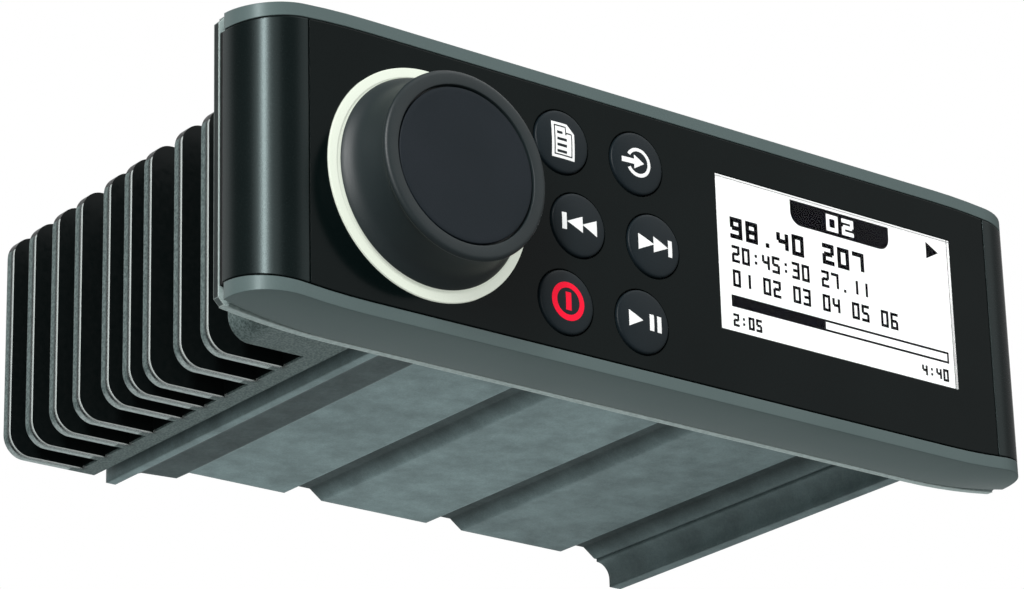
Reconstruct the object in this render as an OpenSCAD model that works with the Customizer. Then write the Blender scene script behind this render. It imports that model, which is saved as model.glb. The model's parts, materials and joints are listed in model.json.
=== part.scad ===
// Marine stereo: a panel-mounted head unit with a finned chassis behind its front.
// The origin is on the face that lies on the panel. The front looks along -Y, +X is to its right, +Z is up.

/* [Front] */
// Width of the front
front_w = 188; // [184:1:196]
// Height of the front at its face
front_h = 57; // [56:0.5:60]
// Depth of the front, from its face to the panel it is mounted on
front_d = 13.7; // [13.2:0.1:15.5]
// Height of each grey rail
rail_h = 2.5; // [2:0.1:3]
// How much the rails spread, above and below, towards the panel
draft = 0.8; // [0.4:0.1:1.2]
// Radius of the rounded front corners, seen from above
corner_r = 10; // [8:0.5:10]
// How far the rails curve in at each end
end_rise = 1.8; // [1:0.1:2.4]
// Length of the curved stretch at each end
rise_len = 24; // [20:1:30]
// How far the rails' rear edges draw away from the flange at each end
rear_rise = 1.4; // [0.6:0.1:1.8]
// Thickness of the frame's back web
web_t = 3; // [2.5:0.1:3.2]
// Width of an end cap, from the end of the front to its seam
cap_w = 11; // [10:0.5:12]
// Thickness of the front panel
face_t = 2; // [1.6:0.1:2.4]
// Gap at every seam that shows
seam = 0.3; // [0.2:0.05:0.5]
// Thickness of an end cap's wall
cap_wall = 1.8; // [1.4:0.1:2.2]
// Distance of the end cap's pegs from the end of the front
peg_inset = 7; // [6:0.5:8]
// Distance between the two pegs of an end cap
peg_span = 12; // [10:1:16]
// Diameter of a peg
peg_d = 3; // [2.4:0.1:3.4]

/* [Mounting] */
// Thickness of the gasket behind the frame
gasket_t = 1.2; // [0.8:0.1:1.6]
// Thickness of the flange plate
flange_t = 1.5; // [1.2:0.1:1.8]
// Chamfer of the flange's corners
flange_chamfer = 1.2; // [0.6:0.1:2]
// Depth of the step that fits into the panel's cut-out
step_t = 0.5; // [0.4:0.1:1]
// Margin of that step around the chassis
step_margin = 0.5; // [0.4:0.1:0.8]
// Diameter of a mounting hole
mount_d = 4; // [3.4:0.1:4.4]
// Distance of the mounting holes from the ends of the front
mount_inset = 7.5; // [7:0.1:8]
// Distance between the mounting holes along Z
mount_span_z = 32; // [26:1:36]

/* [Display] */
// Width of the display window
window_w = 61.5; // [56:0.5:62]
// Height of the display window
window_h = 31.6; // [26:0.1:32]
// Centre of the window along Z
window_z = 2.5; // [0:0.5:4]
// Spare room between the buttons and the window
room_middle = 7.35; // [5:0.05:9]
// Spare room right of the window
room_right = 6.4; // [5:0.1:8]
// Width of the window's hidden rim
window_rim = 1.5; // [1:0.1:2]
// Thickness of that rim
window_rim_t = 1; // [0.8:0.1:1.2]
// Thickness of the liquid crystal module
lcd_t = 1.6; // [1.2:0.1:2]

/* [Buttons] */
// Diameter of a button
button_d = 12.4; // [11:0.1:13]
// Distance between the two columns
button_step_x = 18; // [17:0.1:19]
// Distance between the rows
button_step_z = 15.9; // [15.4:0.1:16.2]
// Spare room between the ring and the buttons
room_buttons = 2.3; // [2:0.1:3]
// Shift of the middle row
row_shift = 3.4; // [0:0.1:4]
// Centre of the middle row along Z
buttons_z = -0.65; // [-1:0.05:0]
// How far a button stands out at its middle
button_proud = 0.9; // [0.7:0.1:1.4]
// How much lower a button is at its edge
button_dome = 0.5; // [0.3:0.1:0.6]
// Width of the lip that keeps a button in
button_lip = 1.2; // [0.9:0.1:1.4]
// Thickness of that lip
button_lip_t = 0.8; // [0.6:0.1:1]
// Travel of a button
button_travel = 0.8; // [0.4:0.1:0.9]
// Thickness of the keypad mat
mat_t = 0.8; // [0.6:0.1:1]

/* [Knob] */
// Spare room left of the ring
room_left = 3.4; // [2.4:0.1:4]
// Centre of the knob along Z
knob_z = -0.65; // [-2:0.05:2]
// Outer radius of the pale ring
ring_out_r = 22.2; // [21.5:0.1:22.6]
// Width of the pale ring
ring_w = 1.8; // [1.7:0.1:2.4]
// Depth of the ring in its groove
ring_seat = 1.2; // [0.8:0.1:1.4]
// How far the ring stands out
ring_proud = 0.3; // [0.1:0.1:0.6]
// Gap between the ring and the knob's skirt
knob_gap = 0.3; // [0.3:0.1:0.8]
// Radius of the knob's rim
knob_rim_r = 17.9; // [17:0.1:18.4]
// Radius of the rounded edge of the rim
knob_bead_r = 0.9; // [0.6:0.1:1.2]
// Height of the knob above the face
knob_h = 11.4; // [11:0.2:14]
// Gap under the knob's skirt
knob_lift = 0.9; // [0.9:0.1:1.4]
// Radius of the knob's cap
knob_cap_r = 14.7; // [12:0.1:14.8]
// Depth of the cap's seat
knob_cap_t = 1.2; // [0.8:0.1:1.4]
// Gap around the cap
knob_cap_gap = 0.4; // [0.2:0.05:0.5]
// How far the cap lies below the knob's front
knob_cap_sink = 0.2; // [0:0.1:0.3]
// Thickness of the knob under its cap
knob_roof_t = 1.8; // [1.4:0.1:2.2]
// Thickness of the knob's wall at its waist
knob_wall_t = 2.2; // [1.8:0.1:2.6]
// Radius of the knob's hub
hub_r = 4.5; // [4:0.1:5.5]
// Diameter of the encoder's shaft
shaft_d = 6; // [5:0.1:6.2]
// Flat on the shaft, measured from its axis
shaft_flat = 1.6; // [1.4:0.1:2]
// Push travel of the knob
push_travel = 0.6; // [0.3:0.1:0.7]
// Width of the encoder's body
encoder_w = 13; // [12:0.5:15]
// Diameter of the encoder's neck
neck_d = 9; // [8:0.1:9.4]
// Height of the neck above the face
neck_h = 2.6; // [2.4:0.1:3]
// Width of the nut across its flats
nut_w = 12; // [11:0.5:14]
// Thickness of the nut
nut_t = 2; // [1.5:0.1:2.2]

/* [Chassis] */
// Depth of the chassis behind the panel
case_d = 97.2; // [90:0.2:110]
// Height over the lips of the covers
case_h = 50.8; // [50:0.2:51.2]
// Distance of the fins' outer edges from the end of the front
sink_inset = 15.8; // [15:0.1:17]
// Distance of the right wall's outer face from the end of the front
wall_inset = 17; // [16:0.1:18]
// Height of the fins
fin_h = 48.7; // [46:0.1:49.6]
// Length of the slots between the fins
fin_l = 16.6; // [12:0.1:17]
// Thickness of a fin
fin_t = 2.6; // [1.8:0.1:3.4]
// Distance between two fins, on average
fin_pitch = 8.9; // [7:0.1:10]
// How much lower the top of the rear fin is
fin_fall = 2.9; // [0:0.1:4]
// Radius of a fin's outer corners
fin_r = 4.5; // [3:0.1:6]
// Thickness of the heat sink's wall
sink_wall = 4.25; // [3.8:0.05:5]
// Thickness of the right wall
wall_t = 3; // [2.6:0.1:3.4]
// Height of the lips below the lands of a cover
land_drop = 5.75; // [5:0.05:6.5]
// Depth of a groove
groove_depth = 2.1; // [1.5:0.1:2.6]
// Width of a groove at its mouth
groove_w = 9.3; // [7:0.1:11]
// Width of a groove at its bottom
groove_floor = 3.5; // [2:0.1:5]
// Centre of the first groove
groove_x = -7.1; // [-9:0.1:-5]
// Distance between the grooves
groove_pitch = 36.2; // [34:0.1:36.4]
// Thickness of a cover at its thinnest
cover_t = 1.2; // [0.9:0.1:1.8]
// Gap between the heat sink and the lip of a cover
lip_gap = 2.75; // [2:0.05:3.5]
// Thickness of that lip
lip_t = 2.2; // [1.8:0.1:3]
// Width of the shoulder beside the lip
shoulder_w = 14.4; // [12:0.1:16]
// Height of that shoulder over the lands
shoulder_h = 1.75; // [1.4:0.05:2.2]
// Thickness of the tongues that carry the covers
tongue_t = 1.8; // [1.4:0.1:2]
// Length of the inner tongues
tongue_l = 7; // [5:0.5:9]
// Thickness of the rear panel
rear_t = 2; // [1.5:0.1:2.5]
// How far the rear panel sits inside the covers
rear_inset = 0.5; // [0.2:0.1:1]
// Width of the posts that carry the rear panel
post_w = 6; // [5.5:0.5:7]
// Length of those posts
post_l = 8; // [7:0.5:8]

/* [Electronics] */
// Thickness of a circuit board
board_t = 1.6; // [1.4:0.1:1.7]
// Height of the standoffs under the main board
standoff_h = 6.35; // [5:0.05:7]
// Diameter of a standoff
standoff_d = 6; // [5:0.1:7]
// Distance of the main board from the flange
board_front = 6; // [4:0.5:7]
// Distance of the main board from the rear of the chassis
board_rear = 11.2; // [11:0.2:14]
// Distance of the main board from the right wall
board_right = 6; // [4.5:0.5:7]
// Least distance between the pieces on the main board
part_gap = 4; // [3:0.5:4.5]
// Size of an amplifier chip along X, Y and Z
chip_size = [4.5, 20, 18]; // [4:0.5:20]
// Place of the first amplifier chip along Y
chip_y = 32; // [30:0.5:34]
// Distance between the two amplifier chips
chip_step = 31; // [29:0.5:32]
// Thickness of the chip clamp
clamp_t = 2; // [1.5:0.1:3]
// Height of the chip clamp
clamp_h = 8; // [7:0.5:12]
// Diameter of a smoothing capacitor
cap_d = 13; // [10:0.5:14]
// Height of a smoothing capacitor
cap_h = 20; // [14:0.5:22]
// Outer diameter of the power choke
choke_d = 24; // [20:0.5:25]
// Thickness of the power choke
choke_t = 8; // [6:0.5:10]
// Size of the tuner can along X, Y and Z
can_size = [26, 20, 9]; // [8:0.5:27]
// Size of the processor along X, Y and Z
processor_size = [16, 16, 1.6]; // [1:0.1:18]
// Size of the wireless module along X, Y and Z
wireless_size = [18, 14, 2.4]; // [2:0.1:20]
// Length of the ribbon cable's connector
connector_l = 6; // [5:0.5:8]
// Width of the ribbon cable
ribbon_w = 20; // [14:1:22]
// Thickness of the ribbon cable
ribbon_t = 0.6; // [0.4:0.1:0.8]
// Centre of the ribbon cable along X
ribbon_x = 22; // [20:1:24]

/* [Sockets] */
// Inner width of the harness socket
harness_w = 23; // [20:0.5:24]
// Inner height of the harness socket
harness_h = 9; // [8:0.5:10]
// Depth of the harness socket
harness_depth = 10; // [8:0.5:11]
// Bore of the antenna socket
antenna_d = 8.2; // [7.6:0.1:8.6]
// Bore of the network socket
network_d = 10.4; // [9.6:0.1:11]
// Depth of the two round sockets
round_depth = 9; // [7:0.5:9.5]
// Inner width of the USB socket
usb_w = 12.4; // [12:0.1:13]
// Inner height of the USB socket
usb_h = 5; // [4.8:0.1:5.4]
// Depth of the USB socket
usb_depth = 12; // [9:0.5:13]
// How far the sockets stand out of the rear panel
socket_proud = 3; // [1:0.5:6]
// Distance of the USB socket from the right wall
socket_margin = 15; // [15:0.5:18]
// Distance between two sockets
socket_gap = 4.5; // [4:0.5:6]

/* [Fasteners and fits] */
// Diameter of the small screws' shanks
screw_d = 2.2; // [2:0.1:2.4]
// Diameter of the larger screws' shanks
big_screw_d = 2.6; // [2.4:0.1:2.8]
// Head diameter of a screw over its shank's diameter
head_ratio = 2; // [1.8:0.1:2.2]
// Height of a screw's head
head_h = 1.3; // [1:0.1:1.5]
// Length of a small screw's shank
screw_l = 6; // [5:0.5:6.5]
// Length of a larger screw's shank
big_screw_l = 7; // [6:0.5:7.5]
// Clearance around a screw's thread
thread_fit = 0.05; // [0.03:0.01:0.1]
// Clearance added to the diameter of a hole that a screw passes through
pass_fit = 0.5; // [0.3:0.1:0.7]
// Clearance around pieces that are set into an opening
set_fit = 0.1; // [0.05:0.05:0.2]
// Clearance of the shaft in the encoder
shaft_fit = 0.05; // [0.03:0.01:0.09]
// Clearance that moving pieces keep
run_gap = 0.3; // [0.2:0.05:0.4]

/* [Hidden] */
$fn = 64;
bow_sides = 360;
eps = 0.5;
hair = 0.01;

// Room at the end of a travel, past the end of a screw, and behind a blind hole
stop_gap = 0.2;
screw_room = 0.6;
blind_t = 0.4;

// Places along Y, from the panel to the face
y_flange = -flange_t;
y_frame = y_flange - gasket_t;
y_web = y_frame - web_t;
y_face = -front_d;
y_panel = y_face + face_t;
y_board = y_web - board_t;
y_rails = y_flange - seam;
y_lcd = y_panel + window_rim_t;
y_backlight = y_lcd + lcd_t;
head_sink = 0.2;
y_screw_seat = y_frame - head_h - head_sink;
peg_x = front_w / 2 - peg_inset;
face_w = front_w - 2 * cap_w;
mount_span_x = front_w - 2 * mount_inset;
in_h = front_h - 2 * rail_h;
flange_h = front_h + 2 * draft;
rear_len = rise_len + 3;
draft_a = atan(draft / (front_d - flange_t));

// Gasket, and the flange's step that fills the panel's cut-out
gasket_w = 2;
gasket_gap = 0.5;
sink_out = front_w / 2 - sink_inset;
wall_out = front_w / 2 - wall_inset;
step_w = 2 * (max(sink_out, wall_out) + step_margin);
step_h = case_h + 2 * step_margin;

// Posts of the front panel and the space behind its face
panel_wall = 1.6;
panel_post_d = 5;
post_inset_x = 4.5;
post_inset_z = 3.2;
panel_post_x = face_w / 2 - post_inset_x;
panel_post_z = in_h / 2 - post_inset_z;
board_gap = 0.5;
board_margin = 2;
front_board_w = 2 * (panel_post_x - panel_post_d / 2 - board_gap);
front_board_h = in_h - 2 * board_margin;
led_size = [3, 0.8, 2];
pipe_d = 1.6;
pipe_r = ring_out_r - ring_w / 2;
pipe_angles = [45, 135, 225, 315];

// The ring, the buttons and the window keep their sizes, and the rooms between them share what is left
margin = 0.5;
lip_margin = button_lip + window_rim + stop_gap;
wall_margin = window_rim + panel_wall + seam / 2 + stop_gap;
buttons_w = button_step_x + button_d + row_shift;
row_w = 2 * ring_out_r + buttons_w + window_w + margin + lip_margin + wall_margin;
spread = (face_w - row_w) / (room_left + room_buttons + room_middle + room_right);
knob_x = -face_w / 2 + margin + spread * room_left + ring_out_r;
buttons_x = knob_x + ring_out_r + spread * room_buttons + (button_step_x + button_d) / 2;
window_x = face_w / 2 - wall_margin - spread * room_right - window_w / 2;

// Buttons and the domes of the mat behind them
button_ball = (pow(button_d / 2, 2) + pow(button_dome, 2)) / (2 * button_dome);
mat_margin = 2;
dome_d = 7;
dome_taper = 2;
dome_top = -face_t - button_lip_t - button_travel - stop_gap;

// Knob and encoder, as heights in front of the face
skirt_r = ring_out_r - ring_w - knob_gap;
waist_r = knob_rim_r - knob_bead_r;
waist_h = knob_h - knob_bead_r;
skirt_edge = 0.6;
skirt_h = knob_lift + skirt_edge;
cap_edge = 0.3;
flare_a = skirt_r - waist_r;
flare_r = (pow(flare_a, 2) + pow(waist_h - skirt_h, 2)) / (2 * flare_a);
roof_h = knob_h - knob_cap_t - knob_roof_t;
hub_h = neck_h + push_travel + 2 * stop_gap;
h_panel = -face_t;
h_board = y_face - y_board;
cavity_wall = 0.6;
h_cavity_back = h_board + cavity_wall;
cavity_roof = 1;
h_cavity_front = h_panel - cavity_roof;
encoder_wall = 1.7;
rotor_r = encoder_w / 2 - encoder_wall;
rotor_t = 1.2;
shaft_end = h_cavity_back + push_travel + stop_gap;

// Chassis places
z_lip = case_h / 2;
z_land = z_lip - land_drop;
z_groove = z_land - groove_depth;
z_in = z_groove - cover_t;
z_tongue = z_in - set_fit - tongue_t;
sink_root = -sink_out + fin_l;
sink_in = sink_root + sink_wall;
wall_in = wall_out - wall_t;
lip_x = sink_in + lip_gap;
lip_foot = 2;
shoulder_slope = 3;
cove = 3.4;
cove_edge = 0.6;
groove_count = floor((wall_in - cove - groove_w / 2 - groove_x) / groove_pitch) + 1;
fin_front = 4;
fin_block = 19;
fin_level = 32;
fin_ratios = [0.92, 0.98, 0.95, 1.14, 0.84, 0.77, 1.17, 1.01, 1.01];
fin_most = ceil(case_d / (fin_pitch * min(fin_ratios)));
function fin_y(i) = i == 0 ? case_d : fin_y(i - 1) - fin_pitch * fin_ratios[(i - 1) % len(fin_ratios)];
function fin_top(y) = fin_h / 2 - fin_fall * max(0, y - fin_level) / (case_d - fin_level);
fin_places = [for (i = [0:fin_most]) if (fin_y(i) - 2 * fin_t > fin_block) fin_y(i)];
sink_skin = 1;
rear_y = case_d - rear_inset;
post_z = z_tongue - post_w / 2;

// Main board places
board_z = -z_in + standoff_h;
board_top = board_z + board_t;
board_y1 = case_d - board_rear;
board_left = 0.6;
board_x0 = sink_in + board_left;
board_x1 = wall_in - board_right;
standoff_left = 14;
standoff_right = 6;
standoff_front = 6;
standoff_rear = 5;
standoff_x = [board_x0 + standoff_left, board_x1 - standoff_right];
standoff_y = [board_front + standoff_front, board_y1 - standoff_rear];
chips_y = [chip_y, chip_y + chip_step];
row_y = chip_y + chip_step / 2;
clamp_reach = chip_size[1] / 2 + part_gap;
clamp_y = [chips_y[0] - clamp_reach, row_y, chips_y[1] + clamp_reach];
pin_h = 1;
clamp_z = board_top + pin_h + chip_size[2] / 2;
clamp_x = sink_in + chip_size[0];
caps_x = clamp_x + clamp_t + head_h + part_gap / 2 + cap_d / 2;
choke_x = caps_x + cap_d / 2 + part_gap + choke_d / 2;
ribbon_rise = 3;
ribbon_gap = 1.5;
ribbon_z = board_top + ribbon_rise;
slot_w = ribbon_w + 2 * ribbon_gap;
slot_h = 5;
socket_foot = 11;
socket_y0 = board_y1 - socket_foot;
socket_y1 = rear_y + socket_proud;
harness_wall = 1.5;
antenna_wall = 1.5;
network_wall = 2;
usb_wall = 0.8;
usb_x = wall_in - socket_margin - usb_wall - usb_w / 2;
network_x = usb_x - usb_w / 2 - usb_wall - socket_gap - network_wall - network_d / 2;
antenna_x = network_x - network_d / 2 - network_wall - socket_gap - antenna_wall - antenna_d / 2;
harness_x = antenna_x - antenna_d / 2 - antenna_wall - socket_gap - harness_wall - harness_w / 2;
harness_z = board_top + harness_wall + harness_h / 2;
antenna_z = board_top + antenna_wall + antenna_d / 2;
network_z = board_top + network_wall + network_d / 2;
usb_z = board_top + usb_wall + usb_h / 2;
choke_edge = choke_x + choke_d / 2 + part_gap;
can_x = choke_edge + can_size[0] / 2;
processor_x = choke_edge + processor_size[0] / 2;
wireless_x = usb_x;
processor_front = 25;
processor_y = board_front + processor_front;
connector_front = 2;
connector_wall = 1;
connector_top = 1.6;
connector_y = board_front + connector_front;
choke_wire = 4.4;
pin_count = 7;
pin_w = 0.8;
pin_t = 0.5;

// Screw places, and the slots in their heads
slot_t = 0.6;
slot_depth = 0.6;
slot_ratio = 1.2;
bezel_screw_left = 13;
bezel_screw_right = 10;
bezel_screw_x = [sink_in + bezel_screw_left, wall_in - bezel_screw_right];
bezel_screw_z = 11;
flange_screw_x = [sink_root + sink_wall / 2, wall_out - wall_t / 2];
flange_screw_z = 18;
rear_screw_x = [sink_in + post_w / 2, wall_in - post_w / 2];

// A box between two corners
module block(low, high) {
    translate(low) cube(high - low);
}

// A flat XZ shape stretched along Y
module along_y(y0, y1) {
    translate([0, y1, 0]) rotate([90, 0, 0]) linear_extrude(y1 - y0) children();
}

// Children drawn with their Z axis pointing forward from the face
module on_face(x, z) {
    translate([x, y_face, z]) rotate([90, 0, 0]) children();
}

// A round bar along Y
module bar_y(x, z, y0, y1, d) {
    translate([x, y0, z]) rotate([-90, 0, 0]) cylinder(d = d, h = y1 - y0);
}

// An outline that is straight in the middle and drawn in at both ends
module bowed(w, h, rise, len = rise_len) {
    bow_x = front_w / 2 - len;
    bow_r = (pow(len, 2) + pow(rise, 2)) / (2 * rise);
    square([2 * bow_x, h], center = true);
    for (s = [-1, 1])
        intersection() {
            translate([s * bow_x, bow_r - h / 2]) circle(bow_r, $fn = bow_sides);
            translate([s * bow_x, h / 2 - bow_r]) circle(bow_r, $fn = bow_sides);
            translate([s * (bow_x + w / 2) / 2, 0]) square([w / 2 - bow_x, h], center = true);
        }
}

// A prism with that outline, whose underside slopes out towards the panel
module sloped() {
    tall = 2 * front_h;
    reach = front_d;
    translate([0, y_face, -front_h / 2]) rotate([-draft_a, 0, 0]) translate([0, -y_face, front_h / 2])
        along_y(y_face - reach, reach) translate([0, (tall - front_h) / 2]) bowed(front_w, tall, end_rise);
}

// The outside of the rails
module front_skin() {
    intersection() {
        sloped();
        mirror([0, 0, 1]) sloped();
        plan_block(front_w, corner_r, y_face, 0);
        translate([0, 0, -front_h]) linear_extrude(2 * front_h)
            translate([0, y_rails - front_w / 2]) bowed(front_w, front_w, rear_rise, rear_len);
    }
}

// The front seen from above, with rounded front corners
module plan(w, r, y0, y1) {
    translate([-w / 2, y0 + r]) square([w, y1 - y0 - r]);
    translate([r - w / 2, y0]) square([w - 2 * r, y1 - y0]);
    for (s = [-1, 1])
        translate([s * (w / 2 - r), y0 + r]) circle(r);
}

module plan_block(w, r, y0, y1) {
    translate([0, 0, -front_h]) linear_extrude(2 * front_h) plan(w, r, y0, y1);
}

module mount_places() {
    for (x = [-1, 1], z = [-1, 1])
        translate([x * mount_span_x / 2, 0, z * mount_span_z / 2]) children();
}

module mount_holes(y0, y1, d) {
    mount_places() bar_y(0, 0, y0, y1, d);
}

// Slot that the ribbon cable passes through
module ribbon_slot(y0, y1) {
    block([ribbon_x - slot_w / 2, y0, ribbon_z - slot_h / 2],
          [ribbon_x + slot_w / 2, y1, ribbon_z + slot_h / 2]);
}

// The cross that a driver turns, cut down from its local origin
module cross_slot(d) {
    for (a = [0, 90])
        rotate(a) cube([slot_ratio * d, slot_t, 2 * slot_depth], center = true);
}

// A screw whose head points along its local +Z
module screw(d, l) {
    translate([0, 0, -l]) cylinder(d = d, h = l + head_h - slot_depth);
    difference() {
        cylinder(d = d * head_ratio, h = head_h);
        translate([0, 0, head_h]) cross_slot(d);
    }
}

// A flat-headed screw, sunk to its local origin
module flat_screw(d, l) {
    translate([0, 0, -l]) cylinder(d = d, h = l - slot_depth);
    difference() {
        translate([0, 0, -d / 2]) cylinder(d1 = d, d2 = d * head_ratio, h = d / 2);
        cross_slot(d);
    }
}

// Front
module bezel_frame() {
    color("#5a6668") difference() {
        front_skin();
        along_y(y_face - 1, y_web) bowed(front_w + 2, in_h, end_rise);
        along_y(y_frame, 1) bowed(front_w + 2, in_h, end_rise);
        for (s = [-1, 1])
            along_y(y_web - 1, y_frame + 1) intersection() {
                bowed(front_w + 2, in_h, end_rise);
                translate([s * front_w / 2, 0]) square([2 * (cap_wall + seam), front_h], center = true);
            }
        mount_holes(y_web - 1, y_frame + 1, mount_d);
        for (x = [-1, 1], z = [-1, 1]) {
            bar_y(x * panel_post_x, z * panel_post_z, y_web - 1, y_frame + 1, screw_d + pass_fit);
            bar_y(x * panel_post_x, z * panel_post_z, y_screw_seat, y_frame + 1,
                  screw_d * head_ratio + pass_fit);
            bar_y(x * peg_x, z * peg_span / 2, y_web - 1, y_frame + 1, peg_d + 2 * run_gap);
        }
        for (x = bezel_screw_x, z = [-1, 1])
            bar_y(x, z * bezel_screw_z, y_web + blind_t, y_frame + 1, big_screw_d + 2 * thread_fit);
        ribbon_slot(y_web - 1, y_frame + 1);
    }
}

module panel_outline() {
    intersection() {
        bowed(front_w, in_h - 2 * seam, end_rise);
        square([face_w - seam, front_h], center = true);
    }
}

module front_panel() {
    color("#15181a") difference() {
        union() {
            along_y(y_face, y_panel) panel_outline();
            along_y(y_face, y_web) difference() {
                panel_outline();
                square([face_w - seam - 2 * panel_wall, front_h], center = true);
            }
            for (x = [-1, 1], z = [-1, 1])
                bar_y(x * panel_post_x, z * panel_post_z, y_panel - eps, y_web, panel_post_d);
        }
        for (x = [-1, 1], z = [-1, 1])
            bar_y(x * panel_post_x, z * panel_post_z, y_panel + blind_t, y_web + 1, screw_d + 2 * thread_fit);
        along_y(y_face - 1, y_panel + 1) translate([window_x, window_z])
            square([window_w + 2 * set_fit, window_h + 2 * set_fit], center = true);
        for (i = [0:5])
            on_face(button_x(i), button_z(i)) translate([0, 0, -face_t - 1])
                cylinder(d = button_d + 2 * run_gap, h = face_t + 2);
        on_face(knob_x, knob_z) {
            translate([0, 0, -face_t - 1]) cylinder(d = neck_d + 2 * set_fit, h = face_t + 2);
            translate([0, 0, -ring_seat]) difference() {
                cylinder(r = ring_out_r + set_fit, h = ring_seat + 1);
                translate([0, 0, -1]) cylinder(r = ring_out_r - ring_w - set_fit, h = ring_seat + 3);
            }
            for (a = pipe_angles)
                rotate(a) translate([pipe_r, 0, -face_t - 1]) cylinder(d = pipe_d + 2 * set_fit, h = face_t);
        }
    }
}

module end_cap(side) {
    color("#15181a") {
        difference() {
            intersection() {
                along_y(y_face, y_frame - set_fit) bowed(front_w, in_h - 2 * seam, end_rise);
                plan_block(front_w, corner_r, y_face, 0);
                translate([side * (face_w + seam) / 2 + side * front_w / 2, 0, 0])
                    cube([front_w, front_w, front_w], center = true);
            }
            plan_block(front_w - 2 * cap_wall, corner_r - cap_wall, y_face + cap_wall, 1);
        }
        for (z = [-1, 1])
            bar_y(side * peg_x, z * peg_span / 2, y_face + cap_wall - eps, y_frame - eps, peg_d);
    }
}

module left_end_cap() {
    end_cap(-1);
}

module right_end_cap() {
    end_cap(1);
}

module display_window() {
    color("#f2f5f2") translate([window_x, 0, window_z]) {
        along_y(y_face, y_panel + eps / 2) square([window_w, window_h], center = true);
        along_y(y_panel, y_panel + window_rim_t)
            square([window_w + 2 * window_rim, window_h + 2 * window_rim], center = true);
    }
}

module window_plate(y0, y1) {
    translate([window_x, 0, window_z]) along_y(y0, y1)
        square([window_w + 2 * window_rim, window_h + 2 * window_rim], center = true);
}

module lcd_module() {
    color("#dfe6e0") window_plate(y_lcd, y_backlight);
}

module backlight() {
    color("#f4f4ee") window_plate(y_backlight, y_board);
}

module ring_light() {
    color("#dfe8cf") on_face(knob_x, knob_z) {
        translate([0, 0, -ring_seat]) difference() {
            cylinder(r = ring_out_r, h = ring_seat + ring_proud);
            translate([0, 0, -1]) cylinder(r = ring_out_r - ring_w, h = ring_seat + ring_proud + 2);
        }
        for (a = pipe_angles)
            rotate(a) translate([pipe_r, 0, h_board + led_size[1] + run_gap])
                cylinder(d = pipe_d, h = -h_board - led_size[1] - run_gap - ring_seat / 2);
    }
}

module ring_leds() {
    color("#f0e8c0") on_face(knob_x, knob_z)
        for (a = pipe_angles)
            rotate(a) translate([pipe_r, 0, h_board + led_size[1] / 2])
                cube([led_size[0], led_size[2], led_size[1]], center = true);
}

// Knob and encoder
module shaft_outline(gap) {
    intersection() {
        circle(d = shaft_d + 2 * gap);
        translate([-shaft_d, -shaft_d]) square([shaft_d + shaft_flat + gap, 2 * shaft_d]);
    }
}

module volume_knob() {
    color("#24292b") on_face(knob_x, knob_z) difference() {
        rotate_extrude() {
            difference() {
                translate([0, knob_lift]) square([skirt_r, waist_h - knob_lift]);
                translate([waist_r + flare_r, waist_h]) circle(flare_r);
            }
            translate([waist_r, waist_h]) circle(knob_bead_r);
            translate([0, waist_h - eps]) square([waist_r, knob_h - waist_h + eps]);
        }
        translate([0, 0, roof_h + knob_roof_t]) cylinder(r = knob_cap_r + knob_cap_gap, h = knob_h);
        difference() {
            cylinder(r = waist_r - knob_wall_t, h = roof_h);
            translate([0, 0, hub_h]) cylinder(r = hub_r, h = knob_h);
        }
        linear_extrude(roof_h) shaft_outline(shaft_fit);
    }
}

module knob_cap() {
    color("#1b1f21") on_face(knob_x, knob_z) translate([0, 0, roof_h + knob_roof_t]) {
        cylinder(r = knob_cap_r, h = knob_cap_t - knob_cap_sink - cap_edge);
        cylinder(r = knob_cap_r - cap_edge, h = knob_cap_t - knob_cap_sink);
    }
}

module encoder_shaft() {
    color("#b9bcbd") on_face(knob_x, knob_z) translate([0, 0, shaft_end])
        linear_extrude(roof_h - shaft_end - set_fit) shaft_outline(0);
}

module encoder_rotor() {
    color("#e6e0cf") on_face(knob_x, knob_z) translate([0, 0, h_cavity_front - run_gap - rotor_t])
        linear_extrude(rotor_t) difference() {
            circle(rotor_r);
            shaft_outline(shaft_fit);
        }
}

module encoder_body() {
    color("#8b9092") on_face(knob_x, knob_z) difference() {
        union() {
            translate([0, 0, h_board]) linear_extrude(h_panel - h_board) square(encoder_w, center = true);
            translate([0, 0, h_panel - eps]) cylinder(d = neck_d, h = neck_h - h_panel + eps);
        }
        translate([0, 0, h_cavity_back]) cylinder(r = rotor_r + run_gap, h = h_cavity_front - h_cavity_back);
        translate([0, 0, h_cavity_back + eps])
            cylinder(d = shaft_d + 2 * shaft_fit, h = neck_h - h_cavity_back);
    }
}

module encoder_nut() {
    color("#c9cccd") on_face(knob_x, knob_z) difference() {
        cylinder(d = nut_w / cos(30), h = nut_t, $fn = 6);
        translate([0, 0, -1]) cylinder(d = neck_d + 2 * thread_fit, h = nut_t + 2);
    }
}

// Buttons
function button_x(i) = buttons_x + (i % 2 - 0.5) * button_step_x + (floor(i / 2) == 1 ? row_shift : 0);
function button_z(i) = buttons_z + (1 - floor(i / 2)) * button_step_z;

module button(i) {
    color("#1c2022") on_face(button_x(i), button_z(i)) {
        translate([0, 0, -face_t - button_lip_t]) cylinder(d = button_d + 2 * button_lip, h = button_lip_t);
        intersection() {
            translate([0, 0, -face_t - button_lip_t / 2])
                cylinder(d = button_d, h = face_t + button_lip_t / 2 + button_proud);
            translate([0, 0, button_proud - button_ball]) sphere(button_ball);
        }
    }
}

module menu_button() {
    button(0);
}

module source_button() {
    button(1);
}

module back_button() {
    button(2);
}

module forward_button() {
    button(3);
}

module power_button() {
    button(4);
}

module play_button() {
    button(5);
}

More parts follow.
